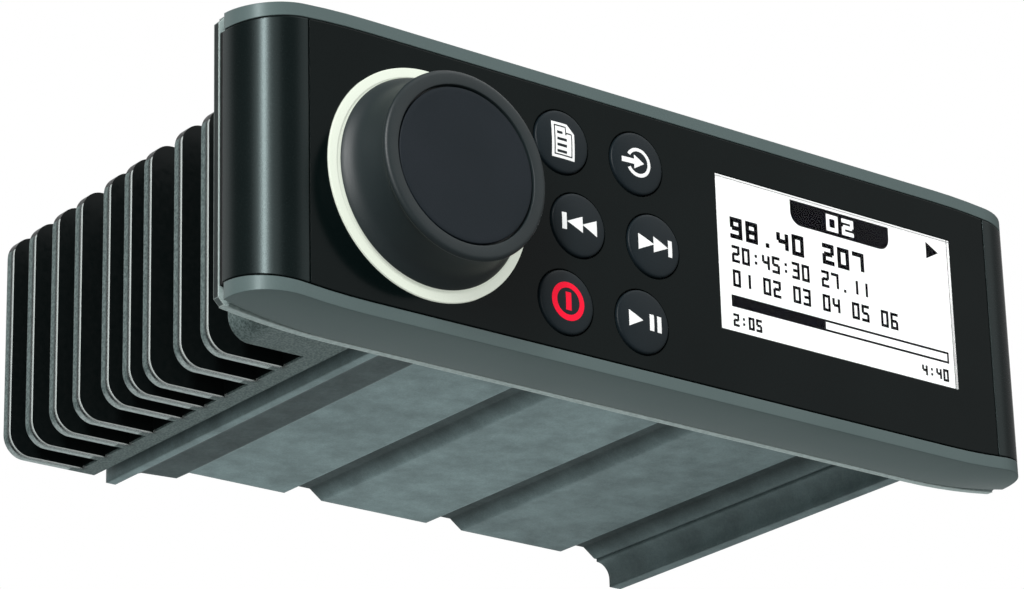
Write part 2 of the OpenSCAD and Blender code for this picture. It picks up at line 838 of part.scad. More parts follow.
module keypad_mat() {
    color("#3d4345") {
        mat_edge = dome_d / 2 + mat_margin;
        block([button_x(0) - mat_edge, y_board - mat_t, button_z(4) - mat_edge],
              [button_x(3) + mat_edge, y_board, button_z(0) + mat_edge]);
        for (i = [0:5])
            on_face(button_x(i), button_z(i)) translate([0, 0, h_board + mat_t / 2])
                cylinder(d1 = dome_d, d2 = dome_d - dome_taper, h = dome_top - h_board - mat_t / 2);
    }
}

module front_board() {
    color("#1f5a3a") difference() {
        along_y(y_board, y_web) square([front_board_w, front_board_h], center = true);
        for (x = bezel_screw_x, z = [-1, 1])
            bar_y(x, z * bezel_screw_z, y_board - 1, y_web + 1, big_screw_d + pass_fit);
    }
}

module panel_screws() {
    color("#a9adaf")
        for (x = [-1, 1], z = [-1, 1])
            translate([x * panel_post_x, y_screw_seat, z * panel_post_z]) rotate([-90, 0, 0])
                screw(screw_d, screw_l);
}

// Mounting
module bezel_gasket() {
    color("#0e1011") difference() {
        along_y(y_frame, y_flange) bowed(front_w - 2 * seam, in_h - 2 * set_fit, end_rise);
        along_y(y_frame - 1, y_flange + 1) square([face_w, in_h - 2 * gasket_w], center = true);
        mount_holes(y_frame - 1, y_flange + 1, mount_d + 2 * gasket_gap);
    }
}

module flange_outline() {
    difference() {
        bowed(front_w, flange_h, end_rise);
        for (x = [-1, 1], z = [-1, 1])
            translate([x * front_w / 2, z * (flange_h / 2 - end_rise)]) rotate(45)
                square(flange_chamfer * sqrt(2), center = true);
    }
}

module flange_plate() {
    color("#6d787a") difference() {
        union() {
            along_y(y_flange, 0) flange_outline();
            along_y(y_flange / 2, step_t) square([step_w, step_h], center = true);
        }
        mount_holes(y_flange - 1, 1, mount_d);
        for (x = bezel_screw_x, z = [-1, 1])
            bar_y(x, z * bezel_screw_z, y_flange - 1, step_t + 1, big_screw_d + pass_fit);
        for (x = flange_screw_x, z = [-1, 1])
            translate([x, y_flange, z * flange_screw_z]) rotate([90, 0, 0]) {
                translate([0, 0, -flange_t - step_t - 1])
                    cylinder(d = big_screw_d + 2 * thread_fit, h = flange_t + step_t + 2);
                translate([0, 0, -big_screw_d / 2]) cylinder(d1 = big_screw_d + 2 * thread_fit,
                    d2 = big_screw_d * head_ratio + 2 * thread_fit, h = big_screw_d / 2 + hair);
            }
        ribbon_slot(y_flange - 1, step_t + 1);
    }
}

module bezel_screws() {
    color("#a9adaf")
        for (x = bezel_screw_x, z = [-1, 1])
            translate([x, step_t, z * bezel_screw_z]) rotate([-90, 0, 0])
                screw(big_screw_d, step_t - y_web - blind_t - screw_room);
}

module flange_screws() {
    color("#a9adaf")
        for (x = flange_screw_x, z = [-1, 1])
            translate([x, y_flange, z * flange_screw_z]) rotate([90, 0, 0])
                flat_screw(big_screw_d, flange_t + step_t + big_screw_l);
}

module flange_screw_holes() {
    for (x = flange_screw_x, z = [-1, 1])
        bar_y(x, z * flange_screw_z, step_t - 1, step_t + big_screw_l + 1, big_screw_d + 2 * thread_fit);
}

// Chassis
module fin_outline(top) {
    low = -fin_h / 2;
    for (z = [low + fin_r, top - fin_r])
        translate([fin_r - sink_out, z]) circle(fin_r);
    translate([-sink_out, low + fin_r]) square([sink_root + sink_out + eps, top - low - 2 * fin_r]);
    translate([fin_r - sink_out, low]) square([sink_root + sink_out - fin_r + eps, top - low]);
}

// Tongues, above and below, that carry a cover from inside
module tongues(x_edge, inner) {
    for (s = [-1, 1])
        translate([min(x_edge, x_edge + inner), step_t, s > 0 ? z_tongue : -z_in + set_fit])
            cube([abs(inner), case_d - step_t, tongue_t]);
}

// Tongues that hold the covers down along the heat sink
module outer_tongues() {
    for (s = [0, 1])
        mirror([0, 0, s])
            block([sink_in - eps, step_t, z_land], [lip_x - run_gap, case_d, z_land + tongue_t]);
}

// Coves that hold the covers down along the right wall
module coves() {
    for (s = [0, 1])
        mirror([0, 0, s]) along_y(step_t, case_d) difference() {
            translate([wall_in - cove, z_land]) square([cove + eps, cove + cove_edge]);
            translate([wall_in - cove, z_land + cove + cove_edge]) circle(cove);
        }
}

module rear_posts(x0) {
    for (s = [-1, 1])
        translate([x0, rear_y - rear_t - post_l, s * post_z - post_w / 2])
            cube([post_w + eps, post_l, post_w]);
}

module rear_screw_holes() {
    y0 = rear_y - rear_t - big_screw_l - screw_room;
    for (x = rear_screw_x, z = [-1, 1])
        bar_y(x, z * post_z, y0, rear_y + 1, big_screw_d + 2 * thread_fit);
}

module heat_sink() {
    color("#4a5456") difference() {
        union() {
            for (y = fin_places)
                along_y(y - fin_t, y) fin_outline(fin_top(y));
            along_y(fin_front, fin_block) fin_outline(fin_h / 2);
            block([sink_root, step_t, -fin_h / 2], [sink_in, case_d, fin_h / 2]);
            translate([-eps, 0, 0]) tongues(sink_in, tongue_l + eps);
            outer_tongues();
            rear_posts(sink_in - eps);
        }
        flange_screw_holes();
        rear_screw_holes();
        for (y = clamp_y)
            translate([sink_in + 1, y, clamp_z]) rotate([0, -90, 0])
                cylinder(d = big_screw_d + 2 * thread_fit, h = sink_wall - sink_skin + 1);
    }
}

function groove(x) = [[x - groove_w / 2, -z_land], [x - groove_floor / 2, -z_groove],
                      [x + groove_floor / 2, -z_groove], [x + groove_w / 2, -z_land]];
groove_points = [for (i = [0:groove_count - 1]) for (p = groove(groove_x + i * groove_pitch)) p];
cover_points = concat(
    [[sink_in + set_fit, -z_in], [sink_in + set_fit, -z_land], [lip_x, -z_land], [lip_x, -z_lip],
     [lip_x + lip_t, -z_lip], [lip_x + lip_t + lip_foot, lip_foot - z_lip],
     [lip_x + lip_t + 3 * lip_foot, -z_land - shoulder_h - lip_foot / 5],
     [lip_x + lip_t + shoulder_w, -z_land - shoulder_h],
     [lip_x + lip_t + shoulder_w + shoulder_slope, -z_land]],
    groove_points,
    [[wall_in - set_fit, -z_land], [wall_in - set_fit, -z_in]]);

module bottom_cover() {
    color("#5f6b6d") along_y(step_t, case_d) polygon(cover_points);
}

module top_cover() {
    color("#5f6b6d") mirror([0, 0, 1]) along_y(step_t, case_d) polygon(cover_points);
}

module right_wall() {
    color("#566163") difference() {
        union() {
            block([wall_in, step_t, -z_lip], [wall_out, case_d, z_lip]);
            translate([eps, 0, 0]) tongues(wall_in, -tongue_l - eps);
            coves();
            translate([-post_w, 0, 0]) rear_posts(wall_in);
        }
        flange_screw_holes();
        rear_screw_holes();
    }
}

module socket_hole(x, z, w, h) {
    along_y(rear_y - rear_t - 1, rear_y + 1) translate([x, z])
        square([w + 2 * set_fit, h + 2 * set_fit], center = true);
}

module round_hole(x, z, d) {
    bar_y(x, z, rear_y - rear_t - 1, rear_y + 1, d + 2 * set_fit);
}

module rear_panel() {
    color("#4a5456") difference() {
        along_y(rear_y - rear_t, rear_y) translate([(sink_in + wall_in) / 2, 0])
            square([wall_in - sink_in - 2 * set_fit, 2 * (z_tongue - set_fit)], center = true);
        rear_screw_holes();
        socket_hole(harness_x, harness_z, harness_w + 2 * harness_wall, harness_h + 2 * harness_wall);
        socket_hole(usb_x, usb_z, usb_w + 2 * usb_wall, usb_h + 2 * usb_wall);
        round_hole(antenna_x, antenna_z, antenna_d + 2 * antenna_wall);
        round_hole(network_x, network_z, network_d + 2 * network_wall);
    }
}

module rear_screws() {
    color("#a9adaf")
        for (x = rear_screw_x, z = [-1, 1])
            translate([x, rear_y, z * post_z]) rotate([-90, 0, 0]) screw(big_screw_d, rear_t + big_screw_l);
}

// Main board
module main_board() {
    color("#1f5a3a") difference() {
        block([board_x0, board_front, board_z], [board_x1, board_y1, board_top]);
        for (x = standoff_x, y = standoff_y)
            translate([x, y, board_z - 1]) cylinder(d = screw_d + pass_fit, h = board_t + 2);
    }
}

module board_standoffs() {
    color("#c8a951")
        for (x = standoff_x, y = standoff_y)
            translate([x, y, -z_in]) difference() {
                cylinder(d = standoff_d, h = standoff_h);
                translate([0, 0, blind_t]) cylinder(d = screw_d + 2 * thread_fit, h = standoff_h);
            }
}

module board_screws() {
    color("#a9adaf")
        for (x = standoff_x, y = standoff_y)
            translate([x, y, board_top]) screw(screw_d, board_t + standoff_h - blind_t - screw_room);
}

module amplifier_chips() {
    color("#202224")
        for (y = chips_y)
            translate([sink_in, y - chip_size[1] / 2, board_top + pin_h]) {
                cube(chip_size);
                for (i = [0:pin_count - 1])
                    translate([chip_size[0] / 2, (i + 0.5) * chip_size[1] / pin_count - pin_w / 2, -pin_h])
                        cube([pin_t, pin_w, pin_h + eps]);
            }
}

module chip_clamp() {
    color("#9aa0a2") difference() {
        block([clamp_x, clamp_y[0] - clamp_h / 2, clamp_z - clamp_h / 2],
              [clamp_x + clamp_t, clamp_y[2] + clamp_h / 2, clamp_z + clamp_h / 2]);
        for (y = clamp_y)
            translate([clamp_x - 1, y, clamp_z]) rotate([0, 90, 0])
                cylinder(d = big_screw_d + pass_fit, h = clamp_t + 2);
    }
}

module clamp_screws() {
    color("#a9adaf")
        for (y = clamp_y)
            translate([clamp_x + clamp_t, y, clamp_z]) rotate([0, 90, 0])
                screw(big_screw_d, clamp_t + chip_size[0] + sink_wall - sink_skin - screw_room);
}

module smoothing_capacitors() {
    color("#2b3550")
        for (i = [-1:1])
            translate([caps_x, row_y + i * (cap_d + part_gap), board_top]) cylinder(d = cap_d, h = cap_h);
}

module power_choke() {
    color("#b0662e") translate([choke_x, row_y, board_top + choke_t / 2]) rotate_extrude()
        translate([choke_d / 2 - choke_wire, 0]) intersection() {
            circle(choke_wire);
            square([2 * choke_wire, choke_t], center = true);
        }
}

// A box that stands on the main board
module on_board(x, y, size) {
    translate([x - size[0] / 2, y - size[1] / 2, board_top]) cube(size);
}

module tuner_can() {
    color("#b9bcbd") on_board(can_x, socket_y0 - part_gap - can_size[1] / 2, can_size);
}

module processor_chip() {
    color("#202224") on_board(processor_x, processor_y, processor_size);
}

module wireless_module() {
    color("#8e9698") on_board(wireless_x, processor_y, wireless_size);
}

module board_connector() {
    half = ribbon_w / 2 + connector_wall;
    color("#e4dfd0") block([ribbon_x - half, connector_y, board_top],
                           [ribbon_x + half, connector_y + connector_l, ribbon_z + connector_top]);
}

module ribbon_cable() {
    color("#d8d4c4") block([ribbon_x - ribbon_w / 2, y_web, ribbon_z - ribbon_t / 2],
                           [ribbon_x + ribbon_w / 2, connector_y, ribbon_z + ribbon_t / 2]);
}

// Sockets
module box_socket(x, z, w, h, wall, depth) {
    difference() {
        along_y(socket_y0, socket_y1) translate([x, z]) square([w + 2 * wall, h + 2 * wall], center = true);
        along_y(socket_y1 - depth, socket_y1 + 1) translate([x, z]) square([w, h], center = true);
    }
}

module harness_socket() {
    color("#e2ddcc") box_socket(harness_x, harness_z, harness_w, harness_h, harness_wall, harness_depth);
}

module usb_socket() {
    color("#c2c6c7") box_socket(usb_x, usb_z, usb_w, usb_h, usb_wall, usb_depth);
}

module round_socket(x, z, d, wall) {
    difference() {
        union() {
            block([x - d / 2 - wall, socket_y0, board_top],
                  [x + d / 2 + wall, rear_y - rear_t - 1, z + d / 2 + wall]);
            bar_y(x, z, socket_y0 + 1, socket_y1, d + 2 * wall);
        }
        bar_y(x, z, socket_y1 - round_depth, socket_y1 + 1, d);
    }
}

module antenna_socket() {
    color("#d0d3d4") round_socket(antenna_x, antenna_z, antenna_d, antenna_wall);
}

module network_socket() {
    color("#2a2d2f") round_socket(network_x, network_z, network_d, network_wall);
}

bezel_frame();
front_panel();
left_end_cap();
right_end_cap();
display_window();
lcd_module();
backlight();
ring_light();
ring_leds();
volume_knob();
knob_cap();
encoder_shaft();
encoder_rotor();
encoder_body();
encoder_nut();
menu_button();
source_button();
back_button();
forward_button();
power_button();
play_button();
keypad_mat();
front_board();
panel_screws();
bezel_gasket();
flange_plate();
bezel_screws();
flange_screws();
heat_sink();
bottom_cover();
top_cover();
right_wall();
rear_panel();
rear_screws();
main_board();
board_standoffs();
board_screws();
amplifier_chips();
chip_clamp();
clamp_screws();
smoothing_capacitors();
power_choke();
tuner_can();
processor_chip();
wireless_module();
board_connector();
ribbon_cable();
harness_socket();
antenna_socket();
network_socket();
usb_socket();
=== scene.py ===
# %% [markdown]
# # A marine stereo, dressed around its CAD frame
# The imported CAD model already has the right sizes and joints. What it lacks is what makes a product look
# real: soft edges, grained plastics, coated metal, a lit display and printed keys.
# Everything here is in metres, in the CAD model's own axes: the front looks along -Y and +Z is up.

# %% Load the frame
import json
import math

import bmesh
import bpy
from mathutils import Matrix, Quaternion, Vector


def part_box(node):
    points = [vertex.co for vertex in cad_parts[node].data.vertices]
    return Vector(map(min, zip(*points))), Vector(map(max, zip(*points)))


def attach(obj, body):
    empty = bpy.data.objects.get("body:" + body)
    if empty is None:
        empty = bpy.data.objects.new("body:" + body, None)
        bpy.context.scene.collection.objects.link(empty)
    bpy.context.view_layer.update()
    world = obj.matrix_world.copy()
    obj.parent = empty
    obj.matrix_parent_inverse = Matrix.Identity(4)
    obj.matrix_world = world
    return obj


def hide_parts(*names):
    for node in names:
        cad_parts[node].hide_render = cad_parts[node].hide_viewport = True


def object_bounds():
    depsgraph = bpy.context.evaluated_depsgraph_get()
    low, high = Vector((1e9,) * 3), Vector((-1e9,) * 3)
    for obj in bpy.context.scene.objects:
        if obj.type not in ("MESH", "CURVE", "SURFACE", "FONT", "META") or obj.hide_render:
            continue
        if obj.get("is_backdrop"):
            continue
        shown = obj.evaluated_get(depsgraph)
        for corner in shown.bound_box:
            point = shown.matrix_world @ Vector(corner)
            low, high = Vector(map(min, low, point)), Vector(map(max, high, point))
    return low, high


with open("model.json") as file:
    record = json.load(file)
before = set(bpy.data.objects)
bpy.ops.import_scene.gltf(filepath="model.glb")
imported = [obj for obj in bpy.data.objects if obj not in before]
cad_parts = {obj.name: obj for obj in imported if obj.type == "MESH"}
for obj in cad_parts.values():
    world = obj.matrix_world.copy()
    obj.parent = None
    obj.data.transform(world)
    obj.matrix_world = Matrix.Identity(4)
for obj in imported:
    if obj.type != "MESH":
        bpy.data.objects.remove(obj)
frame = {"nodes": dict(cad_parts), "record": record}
cad_low, cad_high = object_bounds()
nodes = frame["nodes"]
MM = 0.001
print(len(nodes), "CAD nodes, in mm:", [round(v / MM, 1) for v in cad_high - cad_low])

# %% [markdown]
# ## The camera
# A product picture taken from below, with a long lens, flattens the front and shows the underside.
# A camera can be aimed with a constraint, but a heading, a tilt and a small roll say exactly the same
# with nothing left to follow, so the place and the three angles are written down here.

# %% Place the camera
CAMERA_PLACE = Vector((-445.07, -527.14, -272.51)) * MM
CAMERA_HEADING, CAMERA_TILT, CAMERA_ROLL = (math.radians(a) for a in (38.366, 21.262, -1.536))
LENS = 137.02

bpy.ops.object.camera_add(location=CAMERA_PLACE)
camera = bpy.context.object
camera.name = "product_camera"
level = math.cos(CAMERA_TILT)
aim = Vector((math.sin(CAMERA_HEADING) * level, math.cos(CAMERA_HEADING) * level, math.sin(CAMERA_TILT)))
camera.rotation_mode = "QUATERNION"
camera.rotation_quaternion = aim.to_track_quat("-Z", "Y") @ Quaternion((0, 0, 1), CAMERA_ROLL)
camera.data.sensor_width = 36
camera.data.lens = LENS
camera.data.clip_start, camera.data.clip_end = 0.01, 50
bpy.context.scene.camera = camera
bpy.context.scene.view_settings.view_transform = "Standard"
print("camera looks along", [round(v, 3) for v in aim])

# %% [markdown]
# ## Building shader nodes
# Materials are graphs of nodes. A few helpers keep them readable: one adds a node with its settings and
# inputs, one starts a node group, which is an effect that several materials share, and the others are short
# names for what comes up often, such as a sum of two values or a blend of two tones.

# %% Helpers for nodes
def add_node(tree, kind, inputs=None, **settings):
    made = tree.nodes.new("ShaderNode" + kind)
    for key, value in settings.items():
        setattr(made, key, value)
    for key, value in (inputs or {}).items():
        if isinstance(value, bpy.types.NodeSocket):
            tree.links.new(value, made.inputs[key])
        else:
            made.inputs[key].default_value = value
    return made


def math_node(tree, kind, one, two=0.5):
    return add_node(tree, "Math", {0: one, 1: two}, operation=kind).outputs[0]


def blend_tones(tree, mask, first, second):
    return add_node(tree, "Mix", {0: mask, 6: first, 7: second}, data_type="RGBA").outputs[2]


def object_place(tree):
    return add_node(tree, "TexCoord").outputs["Object"]


def effect_group(name, inputs, outputs):
    tree = bpy.data.node_groups.new(name, "ShaderNodeTree")
    for label, value in inputs.items():
        socket = tree.interface.new_socket(label, in_out="INPUT", socket_type="NodeSocketFloat")
        socket.default_value = value
    for label, kind in outputs.items():
        tree.interface.new_socket(label, in_out="OUTPUT", socket_type="NodeSocket" + kind)
    return tree, tree.nodes.new("NodeGroupInput"), tree.nodes.new("NodeGroupOutput")


def place_group(tree, group, **inputs):
    made = tree.nodes.new("ShaderNodeGroup")
    made.node_tree = group
    for key, value in inputs.items():
        made.inputs[key].default_value = value
    return made


def two_tones(tree, mask, dark, light):
    ramp = add_node(tree, "ValToRGB", {"Fac": mask})
    ramp.color_ramp.elements[0].color = (*dark, 1)
    ramp.color_ramp.elements[1].color = (*light, 1)
    return ramp.outputs["Color"]


def spread(tree, value, low, high, to_low, to_high):
    made = add_node(tree, "MapRange", {"Value": value, "From Min": low, "From Max": high,
                                       "To Min": to_low, "To Max": to_high})
    return made.outputs["Result"]


print("node helpers ready")

# %% [markdown]
# ## Studio: world and floor
# The picture has a plain white background. Light Path tells a ray of the camera, or one that a shiny
# surface sends out, from a ray that only gathers light: the first kinds see white, the last a dimmer sky.
# What a shiny surface sees below and at both sides is darker, as if black cards stood there, as in a real
# studio: they keep the rounded ends black beside the one bright stripe.
# The floor lies right under the stereo. Only a camera above it sees it, with the stereo's shadow on it. A
# camera below, as here, looks through it, and so does light, so that the underside isn't hidden or dark.

# %% World and floor
SKY = 0.42
CARD_REAR, CARD_FRONT, CARD_LEFT, CARD_RIGHT = 0.8, 0.85, 0.85, 0.75
FLOOR_TONE, FLOOR_GAP = 0.8, 0.2 * MM

world = bpy.data.worlds.new("studio")
world.use_nodes = True
bpy.context.scene.world = world
background = next(n for n in world.node_tree.nodes if n.type == "BACKGROUND")
tree = world.node_tree
path = add_node(tree, "LightPath")
way = add_node(tree, "SeparateXYZ", {0: add_node(tree, "TexCoord").outputs["Generated"]})
low = spread(tree, way.outputs["Z"], 0.1, -0.2, 0, 1)
front = spread(tree, way.outputs["Y"], 0.2, -0.2, CARD_REAR, CARD_FRONT)
left = spread(tree, way.outputs["X"], 0.5, 0.25, 0, 1)
beside = spread(tree, way.outputs["Y"], 0.7, 0.45, 0, CARD_LEFT)
right = spread(tree, way.outputs["X"], 0.72, 0.86, 0, CARD_RIGHT)
dark = right
for one, two in ((low, front), (left, beside)):
    dark = math_node(tree, "MAXIMUM", dark, math_node(tree, "MULTIPLY", one, two))
strength = math_node(tree, "SUBTRACT", path.outputs["Is Glossy Ray"], dark)
gathered = math_node(tree, "MULTIPLY", path.outputs["Is Diffuse Ray"], SKY)
for other in (gathered, path.outputs["Is Camera Ray"], path.outputs["Is Transmission Ray"]):
    strength = math_node(tree, "MAXIMUM", strength, other)
tree.links.new(strength, background.inputs["Strength"])
background.inputs["Color"].default_value = (1, 1, 1, 1)

bpy.ops.object.select_all(action="DESELECT")
bpy.ops.mesh.primitive_plane_add(size=8, location=(0, 0, cad_low.z - FLOOR_GAP))
floor = bpy.context.object
floor.name = "floor"
paint = bpy.data.materials.new("pale_floor")
paint.use_nodes = True
tree = paint.node_tree
surface = next(n for n in tree.nodes if n.type == "BSDF_PRINCIPLED")
surface.inputs["Base Color"].default_value = (FLOOR_TONE, FLOOR_TONE, FLOOR_TONE, 1)
surface.inputs["Roughness"].default_value = 0.9
surface.inputs["Specular IOR Level"].default_value = 0.1
path = add_node(tree, "LightPath")
side = add_node(tree, "NewGeometry")
seen = math_node(tree, "GREATER_THAN", path.outputs["Is Camera Ray"], side.outputs["Backfacing"])
clear = add_node(tree, "BsdfTransparent")
blend = add_node(tree, "MixShader", {0: seen, 1: clear.outputs[0], 2: surface.outputs[0]})
output = next(n for n in tree.nodes if n.type == "OUTPUT_MATERIAL")
tree.links.new(blend.outputs[0], output.inputs["Surface"])
floor.data.materials.append(paint)
floor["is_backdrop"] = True
print("floor at", round(floor.location.z / MM, 2), "mm")

# %% [markdown]
# ## Studio: lamps
# One tall softbox stands left of the camera. It lights the front, and the rounded left end mirrors it as an
# upright stripe. A box below, behind and to the right leaves the grooves of the cover in shade, which makes
# them readable, and a weak one above lights the top. The lower box isn't mirrored, or it would hide the
# colour of the cover under a sheen. A wide, faint box around the first gives its stripe soft sides.
# A softbox is an area lamp turned towards the object: its power is its brightness times its size.

# %% Softboxes
def softbox(name, direction, distance, width, height, brightness):
    away = Vector(direction).normalized()
    bpy.ops.object.light_add(type="AREA", location=away * distance)
    lamp = bpy.context.object
    lamp.name = name
    lamp.rotation_mode = "QUATERNION"
    lamp.rotation_quaternion = away.to_track_quat("Z", "Y")
    lamp.data.shape = "RECTANGLE"
    lamp.data.size, lamp.data.size_y = width, height
    lamp.data.energy = brightness * 4 * width * height
    lamp.visible_camera = False
    return lamp


key = softbox("key_box", (-0.74, -0.55, 0.41), 1.3, 0.16, 0.9, 24)
glow = softbox("glow_box", (-0.7, -0.62, 0.12), 1.35, 1.3, 1.2, 0.85)
under = softbox("under_box", (0.5, 0.6, -0.63), 1.4, 0.9, 0.9, 3.6)
under.visible_glossy = False
top_fill = softbox("top_box", (0.3, -0.5, 1), 1.6, 1.0, 1.0, 0.8)
print("lamps:", [lamp.name for lamp in (key, glow, under, top_fill)])

# %% [markdown]
# ## Shared effects
# No real edge is perfectly sharp. The Bevel node bends the shading across a narrow band, so that edges
# catch light, and its difference from the plain normal is a mask of all edges, useful for wear.
# Moulded plastic has a fine grain in its gloss, coated metal has specks, drawn and extruded metal has
# lines along its length. Each is one group, placed in every material that shows it.

# %% Edge softening group
soft_edges, source, sink = effect_group(
    "soft_edges", {"Radius": 0.3 * MM}, {"Normal": "Vector", "Edge": "Float"})
rounded = add_node(soft_edges, "Bevel", {"Radius": source.outputs["Radius"]}, samples=6)
plain = add_node(soft_edges, "NewGeometry")
bend = add_node(soft_edges, "VectorMath", {0: rounded.outputs[0], 1: plain.outputs["Normal"]},
                operation="DOT_PRODUCT")
soft_edges.links.new(rounded.outputs[0], sink.inputs["Normal"])
soft_edges.links.new(spread(soft_edges, bend.outputs["Value"], 0.995, 0.85, 0, 1), sink.inputs["Edge"])
print("group", soft_edges.name)

# %% Moulded grain group
moulded_grain, source, sink = effect_group(
    "moulded_grain", {"Scale": 4000, "Smooth": 0.3, "Rough": 0.5},
    {"Roughness": "Float", "Height": "Float", "Tone": "Float"})
place = object_place(moulded_grain)
grain = add_node(moulded_grain, "TexNoise", {"Vector": place, "Scale": source.outputs["Scale"],
                                             "Detail": 3, "Roughness": 0.6})
cloud = add_node(moulded_grain, "TexNoise", {"Vector": place, "Scale": 45, "Detail": 3})
blotch = math_node(moulded_grain, "MULTIPLY", grain.outputs["Fac"], cloud.outputs["Fac"])
gloss = spread(moulded_grain, grain.outputs["Fac"], 0.3, 0.7, 0, 1)
moulded_grain.links.new(gloss, sink.inputs["Height"])
rough = spread(moulded_grain, gloss, 0, 1, source.outputs["Smooth"], source.outputs["Rough"])
moulded_grain.links.new(rough, sink.inputs["Roughness"])
moulded_grain.links.new(spread(moulded_grain, blotch, 0.12, 0.4, 0, 1), sink.inputs["Tone"])
print("group", moulded_grain.name)

# %% Coating specks group
coat_specks, source, sink = effect_group(
    "coat_specks", {"Scale": 1600}, {"Speck": "Float", "Height": "Float"})
place = object_place(coat_specks)
cells = add_node(coat_specks, "TexVoronoi", {"Vector": place, "Scale": source.outputs["Scale"]})
haze = add_node(coat_specks, "TexNoise", {"Vector": place, "Scale": 900, "Detail": 4, "Roughness": 0.7})
speck = math_node(coat_specks, "MULTIPLY", cells.outputs["Distance"], haze.outputs["Fac"])
coat_specks.links.new(spread(coat_specks, speck, 0.08, 0.38, 0, 1), sink.inputs["Speck"])
coat_specks.links.new(haze.outputs["Fac"], sink.inputs["Height"])
print("group", coat_specks.name)

# %% Drawn lines group
drawn_lines, source, sink = effect_group(
    "drawn_lines", {"Across": 900, "Along": 12}, {"Line": "Float", "Shade": "Float"})
place = object_place(drawn_lines)
squeeze = add_node(drawn_lines, "CombineXYZ", {"X": source.outputs["Across"], "Y": source.outputs["Along"],
                                               "Z": source.outputs["Across"]})
stretched = add_node(drawn_lines, "VectorMath", {0: place, 1: squeeze.outputs[0]}, operation="MULTIPLY")
line = add_node(drawn_lines, "TexNoise", {"Vector": stretched.outputs["Vector"], "Scale": 1, "Detail": 4})
cloud = add_node(drawn_lines, "TexNoise", {"Vector": place, "Scale": 30, "Detail": 2})
drawn_lines.links.new(line.outputs["Fac"], sink.inputs["Line"])
drawn_lines.links.new(spread(drawn_lines, cloud.outputs["Fac"], 0.3, 0.7, 0, 1), sink.inputs["Shade"])
print("group", drawn_lines.name)

# %% [markdown]
# ## Finishes
# A finish is a Principled shader plus the groups that vary it. Numbers that are the same all over, such as
# the specular level, go straight on the shader. What changes over the surface, such as tone, roughness and
# bump, comes out of the groups. One function for each family of finishes keeps the list of them short.

# %% Families of finishes
def start_finish(name, **uniform):
    made = bpy.data.materials.new(name)
    made.use_nodes = True
    shader = next(n for n in made.node_tree.nodes if n.type == "BSDF_PRINCIPLED")
    for key, value in uniform.items():
        shader.inputs[key.replace("_", " ")].default_value = value
    return made, made.node_tree, shader


def raise_bump(tree, shader, height, depth, normal=None):
    inputs = {"Height": height, "Distance": depth * MM, "Strength": 1.0}
    if normal is not None:
        inputs["Normal"] = normal
    bump = add_node(tree, "Bump", inputs)
    tree.links.new(bump.outputs["Normal"], shader.inputs["Normal"])


def moulded(name, dark, light, smooth, rough, scale=4000, depth=0.004, edge=0.25, **uniform):
    made, tree, shader = start_finish(name, **uniform)
    grain = place_group(tree, moulded_grain, Scale=scale, Smooth=smooth, Rough=rough)
    edges = place_group(tree, soft_edges, Radius=edge * MM)
    tree.links.new(two_tones(tree, grain.outputs["Tone"], dark, light), shader.inputs["Base Color"])
    tree.links.new(grain.outputs["Roughness"], shader.inputs["Roughness"])
    raise_bump(tree, shader, grain.outputs["Height"], depth, edges.outputs["Normal"])
    return made


def coated(name, dark, light, rough, scale=1600, depth=0.01, edge=0.3, **uniform):
    made, tree, shader = start_finish(name, **uniform)
    specks = place_group(tree, coat_specks, Scale=scale)
    edges = place_group(tree, soft_edges, Radius=edge * MM)
    tree.links.new(two_tones(tree, specks.outputs["Speck"], dark, light), shader.inputs["Base Color"])
    tree.links.new(spread(tree, specks.outputs["Height"], 0.3, 0.7, rough - 0.1, rough + 0.1),
                   shader.inputs["Roughness"])
    raise_bump(tree, shader, specks.outputs["Height"], depth, edges.outputs["Normal"])
    return made


def drawn(name, dark, light, rough, across=900, along=12, depth=0.006, edge=0.2, **uniform):
    made, tree, shader = start_finish(name, **uniform)
    lines = place_group(tree, drawn_lines, Across=across, Along=along)
    edges = place_group(tree, soft_edges, Radius=edge * MM)
    tree.links.new(two_tones(tree, lines.outputs["Shade"], dark, light), shader.inputs["Base Color"])
    tree.links.new(spread(tree, lines.outputs["Line"], 0.3, 0.7, rough - 0.08, rough + 0.08),
                   shader.inputs["Roughness"])
    raise_bump(tree, shader, lines.outputs["Line"], depth, edges.outputs["Normal"])
    return made


